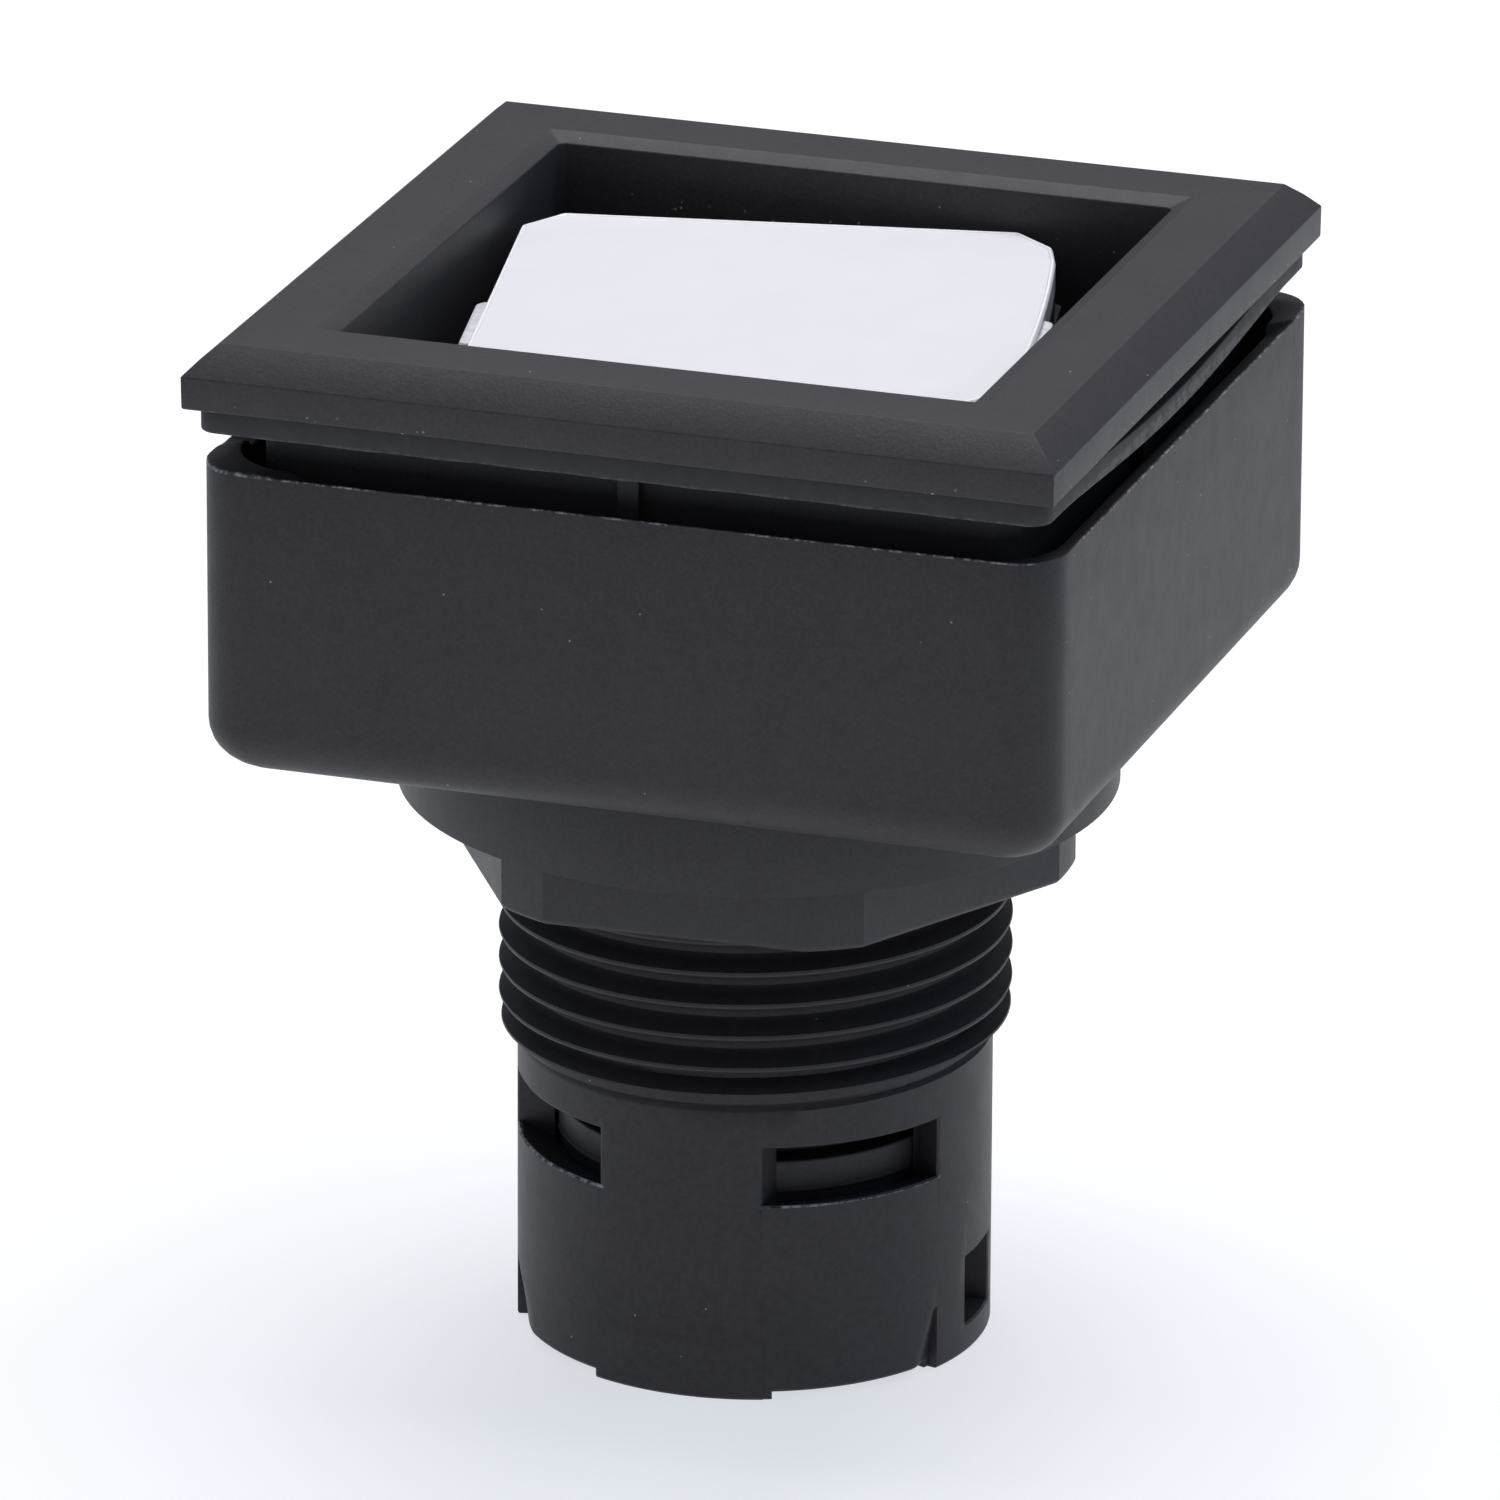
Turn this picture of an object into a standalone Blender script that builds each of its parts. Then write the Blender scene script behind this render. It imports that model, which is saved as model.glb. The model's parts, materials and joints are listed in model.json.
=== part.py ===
"""Front element of a 22 mm illuminated push button with a square flush frame.

In metres, +Z up, the barrel's rear edge at z = 0.
"""

import math

import bmesh
import bpy

MM = 0.001

# Gap between a piece and the one that it sits in or on.
SEAT_GAP = 0.25 * MM

# Threaded barrel, from which the other widths and heights are counted.
# The walls of the tubes inside it are shares of its radius.
# The thread is drawn here at its outer diameter.
THREAD_RADIUS = 11.0 * MM
THREAD_DEPTH = 0.85 * MM
THREAD_LEAD = 0.6 * MM
REAR_LENGTH = 14.1 * MM
SPARE_THREAD = 7.5 * MM
BARREL_WALL = 0.123 * THREAD_RADIUS
BARREL_LIP = 1.6 * MM
BARREL_COLLAR = 1.2 * MM
BARREL_SEAL_THICKNESS = 0.6 * MM
RECESS_COUNT = 4
RECESS_DROP = 2.63 * MM
RECESS_HEIGHT = 2.74 * MM
RECESS_SPAN = math.radians(49.3)
RECESS_TURN = math.radians(-45.9)
WINDOW_WIDTH = 3.1 * MM
WINDOW_HEIGHT = 3.1 * MM
WINDOW_BOTTOM = 1.3 * MM
FOOT_STEP = 0.35 * MM
FOOT_SPAN = math.radians(46.0)
TAPER_HEIGHT = 2.9 * MM
TAPER_DEPTH = 0.35 * MM
TAPER_INNER_ANGLE = math.radians(22.0)
TAPER_OUTER_ANGLE = math.radians(28.0)

# Lock nut, with a washer sunk in the top of its flange.
NUT_CLEARANCE = 0.2 * MM
NUT_WALL = 1.5 * MM
NUT_CORNER = 1.1 * MM
NUT_BODY_HEIGHT = 3.2 * MM
NUT_EDGE = 0.3 * MM
NUT_TURN = math.radians(-28.0)
FLANGE_REACH = 4.35 * MM
FLANGE_THICKNESS = 3.75 * MM
FLANGE_CHAMFER = 0.4 * MM
FLANGE_LIP = 1.7 * MM
WASHER_THICKNESS = 0.8 * MM

# Clamp cup behind the panel. It hangs a little to one side on the barrel.
CUP_SHIFT = 0.15 * MM
CUP_HOLE_CLEARANCE = 0.4 * MM
CUP_SIDE_GAP = 0.8 * MM
CUP_WALL = 0.9 * MM
CUP_FLOOR = 1.6 * MM
CUP_FLOOR_GAP = 2.4 * MM
CUP_CORNER = 2.3 * MM
CUP_INNER_CORNER = 3.6 * MM
CUP_BOTTOM_ROUND = 2.5 * MM
CUP_ROUND_STEPS = 6

# Square well that the frame plugs into.
WELL_SIDE_GAP = 1.7 * MM
WELL_WALL = 1.4 * MM
WELL_CORNER = 1.2 * MM
WELL_FLOOR = 1.5 * MM
WELL_LEDGE = 0.8 * MM
RIB_WIDTH = 0.9 * MM
RIB_DEPTH = 0.6 * MM

# Square front frame.
FRAME_BORDER = 4.3 * MM
FRAME_CHAMFER_WIDTH = 1.25 * MM
FRAME_CHAMFER_DEPTH = 1.3 * MM
FRAME_SIDE_HEIGHT = 1.36 * MM
FRAME_CORNER = 0.25 * MM
OPENING_BEVEL_WIDTH = 0.75 * MM
OPENING_BEVEL_DEPTH = 0.35 * MM
OPENING_CORNER = 0.2 * MM
COLLAR_WALL = 1.0 * MM
COLLAR_DEPTH = 4.0 * MM

# Panel gasket under the frame, and the room that a panel has between it and the cup.
GASKET_INSET = 0.3 * MM
GASKET_CORNER = 1.6 * MM
GASKET_THICKNESS = 0.75 * MM
PANEL_GAP = 1.65 * MM

# Guide sleeve inside the barrel, the ring that holds it and the seal on top of it.
SLEEVE_WALL = 0.141 * THREAD_RADIUS
SLEEVE_FLOOR = 1.6 * MM
SLEEVE_BAND = 1.32 * MM
SLEEVE_GROOVE_DEPTH = 0.7 * MM
SLEEVE_GROOVE_HEIGHT = 1.6 * MM
RING_GROOVE_DEPTH = 0.5 * MM
RING_THICKNESS = 0.6 * MM
RING_SLIT = math.radians(36.0)
PLUNGER_SEAL_HEIGHT = 1.5 * MM
PLUNGER_SEAL_DROP = 1.25 * MM

# Plunger, its clip and the return spring.
TRAVEL = 3.8 * MM
PRESS_CLEARANCE = 0.7 * MM
PLUNGER_CLEARANCE = 0.3 * MM
PLUNGER_WALL = 0.132 * THREAD_RADIUS
PLUNGER_STEP = 2.0 * MM
STEM_WALL = 0.1 * THREAD_RADIUS
STEM_TAIL = 1.63 * MM
STEM_SLOT_WIDTH = 3.0 * MM
STEM_SLOT_HEIGHT = 0.9 * MM
CLIP_GROOVE_DEPTH = 0.35 * MM
CLIP_THICKNESS = 0.6 * MM
CLIP_REACH = 0.173 * THREAD_RADIUS
CLIP_CLEARANCE = 0.7 * MM
CLIP_SLIT = math.radians(70.0)
SPRING_SIDE_GAP = 0.073 * THREAD_RADIUS
SPRING_WIRE_RADIUS = 0.4 * MM
SPRING_PITCH = 1.62 * MM
SPRING_END_TURNS = 1

# Light guide in the plunger.
GUIDE_HEAD_HEIGHT = 2.0 * MM
GUIDE_DOME = 0.8 * MM
GUIDE_DROP = 6.05 * MM
GUIDE_INSET = 2.6 * MM

# Lens and what is under it. The head stands turned against the frame.
HEAD_TURN = math.radians(11.5)
LENS_RECESS = 2.0 * MM
LENS_MARGIN = 2.15 * MM
LENS_CUT = 1.8 * MM
LENS_TOP = 1.2 * MM
LENS_WALL = 0.9 * MM
LENS_HEIGHT = 2.4 * MM
LENS_EDGE = 0.25 * MM
TAB_WIDTH = 5.6 * MM
TAB_REACH = 0.6 * MM
TAB_HEIGHT = 1.3 * MM
PLATE_THICKNESS = 0.6 * MM
CARRIER_FLOOR = 1.35 * MM
CARRIER_RIM_WALL = 0.9 * MM
CARRIER_NECK_LENGTH = 5.0 * MM
CARRIER_NECK_WALL = 1.0 * MM

ROUND_STEPS = 64
CORNER_STEPS = 5
SMOOTH_ANGLE = math.radians(32.0)

# Heights above the rear edge of the barrel, counted up the outside to the front face.
RECESS_TOP = REAR_LENGTH - RECESS_DROP
RECESS_BOTTOM = RECESS_TOP - RECESS_HEIGHT
NUT_BOTTOM = REAR_LENGTH + SPARE_THREAD
FLANGE_BOTTOM = NUT_BOTTOM + NUT_BODY_HEIGHT
FLANGE_TOP = FLANGE_BOTTOM + FLANGE_THICKNESS
CUP_BOTTOM = FLANGE_TOP + SEAT_GAP
WELL_BOTTOM = CUP_BOTTOM + CUP_FLOOR + CUP_FLOOR_GAP
WELL_FLOOR_TOP = WELL_BOTTOM + WELL_FLOOR
BARREL_SEAL_BOTTOM = WELL_FLOOR_TOP + SEAT_GAP
BARREL_COLLAR_BOTTOM = BARREL_SEAL_BOTTOM + BARREL_SEAL_THICKNESS + SEAT_GAP
BARREL_TOP = BARREL_COLLAR_BOTTOM + BARREL_COLLAR
CARRIER_BOTTOM = BARREL_TOP + TRAVEL + PRESS_CLEARANCE
CARRIER_FLOOR_TOP = CARRIER_BOTTOM + CARRIER_FLOOR
DIFFUSER_TOP = CARRIER_FLOOR_TOP + SEAT_GAP + PLATE_THICKNESS
LEGEND_TOP = DIFFUSER_TOP + SEAT_GAP + PLATE_THICKNESS
LENS_CEILING = LEGEND_TOP + SEAT_GAP
LENS_FACE = LENS_CEILING + LENS_TOP
LENS_SKIRT = LENS_FACE - LENS_HEIGHT
OVERALL_HEIGHT = LENS_FACE + LENS_RECESS

# Heights counted down from the front face.
FRAME_BOTTOM = OVERALL_HEIGHT - FRAME_CHAMFER_DEPTH - FRAME_SIDE_HEIGHT
COLLAR_FOOT = FRAME_BOTTOM - COLLAR_DEPTH
WELL_TOP = FRAME_BOTTOM - SEAT_GAP
GASKET_TOP = FRAME_BOTTOM - SEAT_GAP
GASKET_BOTTOM = GASKET_TOP - GASKET_THICKNESS
CUP_RIM = GASKET_BOTTOM - PANEL_GAP

# Heights of what is inside the barrel.
SLEEVE_FLOOR_TOP = RECESS_BOTTOM + SLEEVE_FLOOR
SLEEVE_TOP = BARREL_TOP - PLUNGER_SEAL_DROP - PLUNGER_SEAL_HEIGHT - SEAT_GAP
RING_TOP = RECESS_BOTTOM - SEAT_GAP
CLIP_TOP = RECESS_BOTTOM - SEAT_GAP
CLIP_BOTTOM = CLIP_TOP - CLIP_THICKNESS
STEM_END = CLIP_BOTTOM - SEAT_GAP - STEM_TAIL
GUIDE_END = STEM_END + GUIDE_INSET
NECK_BOTTOM = CARRIER_BOTTOM - CARRIER_NECK_LENGTH
GUIDE_HEAD_TOP = NECK_BOTTOM - GUIDE_DROP - GUIDE_DOME
GUIDE_HEAD_BOTTOM = GUIDE_HEAD_TOP - GUIDE_HEAD_HEIGHT
PLUNGER_STEP_TOP = GUIDE_HEAD_BOTTOM - SEAT_GAP
PLUNGER_SHOULDER = PLUNGER_STEP_TOP - PLUNGER_STEP
PLUNGER_TOP = CARRIER_BOTTOM - SEAT_GAP

# Radii inside the thread.
BARREL_RADIUS = THREAD_RADIUS - THREAD_DEPTH
BARREL_BORE = BARREL_RADIUS - BARREL_WALL
RING_GROOVE_RADIUS = BARREL_BORE + RING_GROOVE_DEPTH
SLEEVE_RADIUS = BARREL_BORE - SEAT_GAP
SLEEVE_BORE = SLEEVE_RADIUS - SLEEVE_WALL
PLUNGER_RADIUS = SLEEVE_BORE - PLUNGER_CLEARANCE
PLUNGER_BORE = PLUNGER_RADIUS - PLUNGER_WALL
SPRING_MEAN_RADIUS = SLEEVE_BORE - SPRING_SIDE_GAP - SPRING_WIRE_RADIUS
STEM_RADIUS = SPRING_MEAN_RADIUS - SPRING_WIRE_RADIUS - SPRING_SIDE_GAP
STEM_BORE = STEM_RADIUS - STEM_WALL
CLIP_RADIUS = STEM_RADIUS + CLIP_REACH
RING_BORE = CLIP_RADIUS + CLIP_CLEARANCE
GUIDE_ROD_RADIUS = STEM_BORE - SEAT_GAP
GUIDE_HEAD_RADIUS = PLUNGER_BORE - SEAT_GAP
NECK_RADIUS = PLUNGER_BORE - SEAT_GAP

# Radii and widths outside it.
NUT_APOTHEM = THREAD_RADIUS + NUT_WALL
FLANGE_RADIUS = THREAD_RADIUS + FLANGE_REACH
WASHER_SEAT_RADIUS = FLANGE_RADIUS - FLANGE_LIP
BARREL_COLLAR_RADIUS = THREAD_RADIUS + BARREL_LIP
WELL_INNER_WIDTH = 2 * (BARREL_COLLAR_RADIUS + WELL_SIDE_GAP)
WELL_MOUTH = WELL_INNER_WIDTH + 2 * WELL_LEDGE
WELL_WIDTH = WELL_MOUTH + 2 * WELL_WALL
CUP_INNER_WIDTH = WELL_WIDTH + 2 * RIB_DEPTH + 2 * CUP_SIDE_GAP
CUP_WIDTH = CUP_INNER_WIDTH + 2 * CUP_WALL
COLLAR_WIDTH = WELL_MOUTH - 2 * SEAT_GAP
THROAT_WIDTH = COLLAR_WIDTH - 2 * COLLAR_WALL
OPENING_WIDTH = THROAT_WIDTH + 2 * OPENING_BEVEL_WIDTH
FRAME_WIDTH = OPENING_WIDTH + 2 * FRAME_BORDER
GASKET_WIDTH = FRAME_WIDTH - 2 * GASKET_INSET
LENS_WIDTH = THROAT_WIDTH - 2 * LENS_MARGIN
CARRIER_RIM = LENS_WIDTH - 2 * LENS_WALL - 2 * SEAT_GAP
PLATE_WIDTH = CARRIER_RIM - 2 * CARRIER_RIM_WALL - 2 * SEAT_GAP


def clear_scene():
    for obj in list(bpy.data.objects):
        bpy.data.objects.remove(obj, do_unlink=True)


def material(name, colour, roughness, transmission=0.0):
    made = bpy.data.materials.new(name)
    made.use_nodes = True
    shader = made.node_tree.nodes["Principled BSDF"]
    shader.inputs["Base Color"].default_value = (*colour, 1.0)
    shader.inputs["Roughness"].default_value = roughness
    shader.inputs["Transmission Weight"].default_value = transmission
    made.diffuse_color = (*colour, 1.0)
    return made


def finished(name, bm, made=None, smooth=True):
    """The object that holds this mesh. One without a material is a cutter and stays out of the render."""
    bmesh.ops.remove_doubles(bm, verts=bm.verts, dist=1e-7)
    bmesh.ops.recalc_face_normals(bm, faces=bm.faces)
    mesh = bpy.data.meshes.new(name)
    bm.to_mesh(mesh)
    bm.free()
    obj = bpy.data.objects.new(name, mesh)
    bpy.context.scene.collection.objects.link(obj)
    if smooth:
        mesh.shade_smooth()
        mesh.set_sharp_from_angle(angle=SMOOTH_ANGLE)
    if made:
        mesh.materials.append(made)
    else:
        obj.hide_render = True
        obj.display_type = "WIRE"
    return obj


def joined_rings(rings, wrap):
    """A closed skin over rings of points: the last ring meets the first, or both ends are capped."""
    bm = bmesh.new()
    loops = [[bm.verts.new(point) for point in ring] for ring in rings]
    pairs = list(zip(loops, loops[1:]))
    if wrap:
        pairs.append((loops[-1], loops[0]))
    else:
        bm.faces.new(reversed(loops[0]))
        bm.faces.new(loops[-1])
    for low, high in pairs:
        for i in range(len(low)):
            j = (i + 1) % len(low)
            bm.faces.new((low[i], low[j], high[j], high[i]))
    return bm


def square_outline(width, corner, corner_steps):
    """Points round a square with rounded corners. One corner step cuts the corner straight."""
    reach = width / 2 - corner
    points = []
    for quarter in range(4):
        turn = quarter * math.pi / 2
        along, across = math.cos(turn), math.sin(turn)
        for step in range(corner_steps + 1):
            angle = step / corner_steps * math.pi / 2
            x = reach + corner * math.cos(angle)
            y = reach + corner * math.sin(angle)
            points.append((x * along - y * across, x * across + y * along))
    return points


def square_rings(sections, corner_steps, shift=0.0):
    """A ring of points for each (width, corner radius, height), moved along X by the shift."""
    rings = []
    for width, corner, height in sections:
        outline = square_outline(width, corner, corner_steps)
        rings.append([(x + shift, y, height) for x, y in outline])
    return rings


def turned_rings(profile, start=0.0, span=2 * math.pi, steps=ROUND_STEPS):
    """The (radius, height) outline at each step of a turn about Z."""
    full = math.isclose(span, 2 * math.pi)
    rings = []
    for step in range(steps + (0 if full else 1)):
        angle = start + span * step / steps
        along, across = math.cos(angle), math.sin(angle)
        rings.append([(r * along, r * across, z) for r, z in profile])
    return rings


def turned(name, profile, made=None):
    return finished(name, joined_rings(turned_rings(profile), True), made)


def sector(name, inner, outer, bottom, top, start, span, made=None):
    """Part of a ring of rectangular section."""
    profile = [(inner, bottom), (outer, bottom), (outer, top), (inner, top)]
    steps = max(3, round(ROUND_STEPS * span / (2 * math.pi)))
    return finished(name, joined_rings(turned_rings(profile, start, span, steps), False), made)


def block(name, size, centre, made=None):
    bm = bmesh.new()
    bmesh.ops.create_cube(bm, size=1.0)
    bmesh.ops.scale(bm, vec=size, verts=bm.verts)
    bmesh.ops.translate(bm, vec=centre, verts=bm.verts)
    return finished(name, bm, made, smooth=False)


def disc(name, radius, bottom, top):
    return turned(name, [(0.0, bottom), (radius, bottom), (radius, top), (0.0, top)])


def combine(obj, other, operation):
    """Adds the other mesh to the object, or takes it away."""
    modifier = obj.modifiers.new(other.name, "BOOLEAN")
    modifier.operation = operation
    modifier.solver = "EXACT"
    modifier.object = other
    if other.parent is None and obj.parent is not None:
        other.parent = obj.parent


def make_front_frame():
    """Bezel with a chamfered outer edge, a bevelled opening and a collar that plugs into the well."""
    top = OVERALL_HEIGHT
    face_width = FRAME_WIDTH - 2 * FRAME_CHAMFER_WIDTH
    chamfer_foot = top - FRAME_CHAMFER_DEPTH
    bevel_foot = top - OPENING_BEVEL_DEPTH
    sections = [
        (FRAME_WIDTH, FRAME_CORNER, FRAME_BOTTOM),
        (FRAME_WIDTH, FRAME_CORNER, chamfer_foot),
        (face_width, FRAME_CORNER, top),
        (OPENING_WIDTH, OPENING_CORNER, top),
        (THROAT_WIDTH, OPENING_CORNER, bevel_foot),
        (THROAT_WIDTH, OPENING_CORNER, COLLAR_FOOT),
        (COLLAR_WIDTH, OPENING_CORNER + COLLAR_WALL, COLLAR_FOOT),
        (COLLAR_WIDTH, OPENING_CORNER + COLLAR_WALL, FRAME_BOTTOM),
    ]
    made = material("front_frame_plastic", (0.035, 0.037, 0.043), 0.5)
    return finished("front_frame", joined_rings(square_rings(sections, 3), True), made, smooth=False)


def make_front_gasket():
    """Thin square seal between the frame and the panel."""
    inner = WELL_WIDTH + 2 * RIB_DEPTH + 2 * SEAT_GAP
    inner_corner = GASKET_CORNER / 2
    sections = [
        (GASKET_WIDTH, GASKET_CORNER, GASKET_BOTTOM),
        (GASKET_WIDTH, GASKET_CORNER, GASKET_TOP),
        (inner, inner_corner, GASKET_TOP),
        (inner, inner_corner, GASKET_BOTTOM),
    ]
    made = material("front_gasket_rubber", (0.045, 0.043, 0.042), 0.75)
    return finished("front_gasket", joined_rings(square_rings(sections, CORNER_STEPS), True), made)


def make_well_housing():
    """Square well behind the frame, with a rib down the middle of each side and a hole for the barrel."""
    step = COLLAR_FOOT - SEAT_GAP
    sections = [
        (WELL_WIDTH - 2 * WELL_LEDGE, WELL_CORNER, WELL_BOTTOM),
        (WELL_WIDTH, WELL_CORNER, WELL_BOTTOM + WELL_LEDGE),
        (WELL_WIDTH, WELL_CORNER, WELL_TOP),
        (WELL_MOUTH, WELL_CORNER, WELL_TOP),
        (WELL_MOUTH, WELL_CORNER, step),
        (WELL_INNER_WIDTH, WELL_CORNER, step),
        (WELL_INNER_WIDTH, WELL_CORNER, WELL_FLOOR_TOP),
    ]
    made = material("well_housing_plastic", (0.03, 0.032, 0.036), 0.48)
    housing = finished("well_housing", joined_rings(square_rings(sections, 4), False), made)
    rib_bottom = WELL_BOTTOM + 2 * WELL_LEDGE
    rib_height = WELL_TOP - rib_bottom
    span = WELL_WIDTH + 2 * RIB_DEPTH
    middle = rib_bottom + rib_height / 2
    inset = (WELL_WIDTH + WELL_MOUTH) / 4
    depth = span / 2 - inset
    for index, (x, y) in enumerate(((0, -1), (1, 0), (0, 1), (-1, 0))):
        size = (RIB_WIDTH if x == 0 else depth, RIB_WIDTH if y == 0 else depth, rib_height)
        centre = (x * (inset + depth / 2), y * (inset + depth / 2), middle)
        combine(housing, block(f"rib_{index + 1}", size, centre), "UNION")
    hole = disc("well_hole", THREAD_RADIUS + SEAT_GAP, WELL_BOTTOM - MM, WELL_FLOOR_TOP + MM)
    combine(housing, hole, "DIFFERENCE")
    return housing


def make_clamp_cup():
    """Square cup that the nut draws up against the back of the panel."""
    rounding = []
    for step in range(CUP_ROUND_STEPS + 1):
        angle = step / CUP_ROUND_STEPS * math.pi / 2
        inset = CUP_BOTTOM_ROUND * (1 - math.sin(angle))
        corner = CUP_CORNER - 0.85 * inset
        height = CUP_BOTTOM + CUP_BOTTOM_ROUND * (1 - math.cos(angle))
        rounding.append((CUP_WIDTH - 2 * inset, corner, height))
    floor_top = CUP_BOTTOM + CUP_FLOOR
    fillet = CUP_BOTTOM_ROUND - CUP_WALL
    sections = rounding + [
        (CUP_WIDTH, CUP_CORNER, CUP_RIM),
        (CUP_INNER_WIDTH, CUP_INNER_CORNER, CUP_RIM),
        (CUP_INNER_WIDTH, CUP_INNER_CORNER, floor_top + fillet),
        (CUP_INNER_WIDTH - 2 * fillet, CUP_INNER_CORNER - fillet, floor_top),
    ]
    made = material("clamp_cup_plastic", (0.03, 0.032, 0.036), 0.5)
    cup = finished("clamp_cup", joined_rings(square_rings(sections, 6, CUP_SHIFT), False), made)
    hole = disc("cup_hole", THREAD_RADIUS + CUP_HOLE_CLEARANCE, CUP_BOTTOM - MM, floor_top + MM)
    hole.location.x = CUP_SHIFT
    combine(cup, hole, "DIFFERENCE")
    return cup


def make_thrust_washer():
    """Washer in the top of the flange, level with it."""
    bore = THREAD_RADIUS + NUT_CLEARANCE
    outer = WASHER_SEAT_RADIUS - SEAT_GAP
    bottom = FLANGE_TOP - WASHER_THICKNESS
    profile = [(bore, bottom), (outer, bottom), (outer, FLANGE_TOP), (bore, FLANGE_TOP)]
    return turned("thrust_washer", profile, material("thrust_washer_steel", (0.45, 0.45, 0.46), 0.35))


def nut_outline(shrink):
    """Hexagon whose corners are cut by a circle."""
    apothem = NUT_APOTHEM - shrink
    radius = apothem + NUT_CORNER
    half_flat = math.acos(apothem / radius)
    half_arc = math.pi / 6 - half_flat
    points = []
    for side in range(6):
        normal = NUT_TURN + side * math.pi / 3
        for offset in (-half_flat, half_flat, half_flat + 0.67 * half_arc, half_flat + 1.33 * half_arc):
            angle = normal + offset
            points.append((radius * math.cos(angle), radius * math.sin(angle)))
    return points


def make_lock_nut():
    """Round flange over a faceted body, with a seat for the washer in the flange's top."""
    heights = (
        (NUT_EDGE, NUT_BOTTOM),
        (0.0, NUT_BOTTOM + NUT_EDGE),
        (0.0, (FLANGE_BOTTOM + FLANGE_TOP) / 2),
    )
    rings = [[(x, y, z) for x, y in nut_outline(shrink)] for shrink, z in heights]
    made = material("lock_nut_plastic", (0.028, 0.029, 0.032), 0.45)
    nut = finished("lock_nut", joined_rings(rings, False), made, smooth=False)
    bore = THREAD_RADIUS + NUT_CLEARANCE
    seat = FLANGE_TOP - WASHER_THICKNESS - SEAT_GAP
    flange = turned(
        "nut_flange",
        [
            (bore, FLANGE_BOTTOM),
            (FLANGE_RADIUS - FLANGE_CHAMFER, FLANGE_BOTTOM),
            (FLANGE_RADIUS, FLANGE_BOTTOM + FLANGE_CHAMFER),
            (FLANGE_RADIUS, FLANGE_TOP),
            (WASHER_SEAT_RADIUS, FLANGE_TOP),
            (WASHER_SEAT_RADIUS, seat),
            (bore, seat),
        ],
    )
    combine(nut, flange, "UNION")
    combine(nut, disc("nut_bore", bore, NUT_BOTTOM - MM, FLANGE_TOP + MM), "DIFFERENCE")
    return nut


def make_threaded_barrel():
    """Collar, thread and plain rear end, with bayonet recesses, two windows and a stepped rear edge."""
    ring_bottom = RING_TOP - RING_THICKNESS - 2 * SEAT_GAP
    profile = [
        (BARREL_BORE, 0.0),
        (BARREL_RADIUS, 0.0),
        (BARREL_RADIUS, REAR_LENGTH),
        (THREAD_RADIUS, REAR_LENGTH + THREAD_LEAD),
        (THREAD_RADIUS, BARREL_COLLAR_BOTTOM),
        (BARREL_COLLAR_RADIUS, BARREL_COLLAR_BOTTOM),
        (BARREL_COLLAR_RADIUS, BARREL_TOP),
        (BARREL_BORE, BARREL_TOP),
        (BARREL_BORE, RING_TOP),
        (RING_GROOVE_RADIUS, RING_TOP),
        (RING_GROOVE_RADIUS, ring_bottom),
        (BARREL_BORE, ring_bottom),
    ]
    made = material("threaded_barrel_plastic", (0.026, 0.027, 0.03), 0.36)
    barrel = turned("threaded_barrel", profile, made)
    inside = BARREL_BORE - MM
    outside = BARREL_RADIUS + MM
    for index in range(RECESS_COUNT):
        turn = RECESS_TURN + index * 2 * math.pi / RECESS_COUNT
        start = turn - RECESS_SPAN / 2
        recess = sector(f"recess_{index + 1}", inside, outside, RECESS_BOTTOM, RECESS_TOP, start, RECESS_SPAN)
        combine(barrel, recess, "DIFFERENCE")
        span = math.pi / 2 - FOOT_SPAN
        start = math.pi / 4 + index * math.pi / 2 - span / 2
        notch = sector(f"rear_notch_{index + 1}", inside, outside, -MM, FOOT_STEP, start, span)
        combine(barrel, notch, "DIFFERENCE")
    middle = WINDOW_BOTTOM + WINDOW_HEIGHT / 2
    size = (4 * outside, WINDOW_WIDTH, WINDOW_HEIGHT)
    combine(barrel, block("window_cut", size, (0.0, 0.0, middle)), "DIFFERENCE")
    for index, (side, mirror) in enumerate(((1, 1), (1, -1), (-1, 1), (-1, -1))):
        combine(barrel, taper_cutter(f"taper_{index + 1}", side, mirror), "DIFFERENCE")
    return barrel


def taper_cutter(name, side, mirror):
    """Wedge beside a window: a point at its top and TAPER_OUTER_ANGLE wide at the rear edge."""
    rings = []
    for radius in (BARREL_RADIUS - TAPER_DEPTH, BARREL_RADIUS + MM):
        ring = []
        corners = (
            (TAPER_INNER_ANGLE, -MM),
            (TAPER_OUTER_ANGLE, -MM),
            (TAPER_INNER_ANGLE, TAPER_HEIGHT),
        )
        for angle, height in corners:
            ring.append((side * radius * math.cos(angle), mirror * radius * math.sin(angle), height))
        rings.append(ring)
    return finished(name, joined_rings(rings, False), smooth=False)


def make_barrel_seal():
    bore = THREAD_RADIUS + SEAT_GAP
    outer = BARREL_COLLAR_RADIUS
    top = BARREL_SEAL_BOTTOM + BARREL_SEAL_THICKNESS
    profile = [(bore, BARREL_SEAL_BOTTOM), (outer, BARREL_SEAL_BOTTOM), (outer, top), (bore, top)]
    return turned("barrel_seal", profile, material("barrel_seal_rubber", (0.02, 0.02, 0.02), 0.8))


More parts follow.
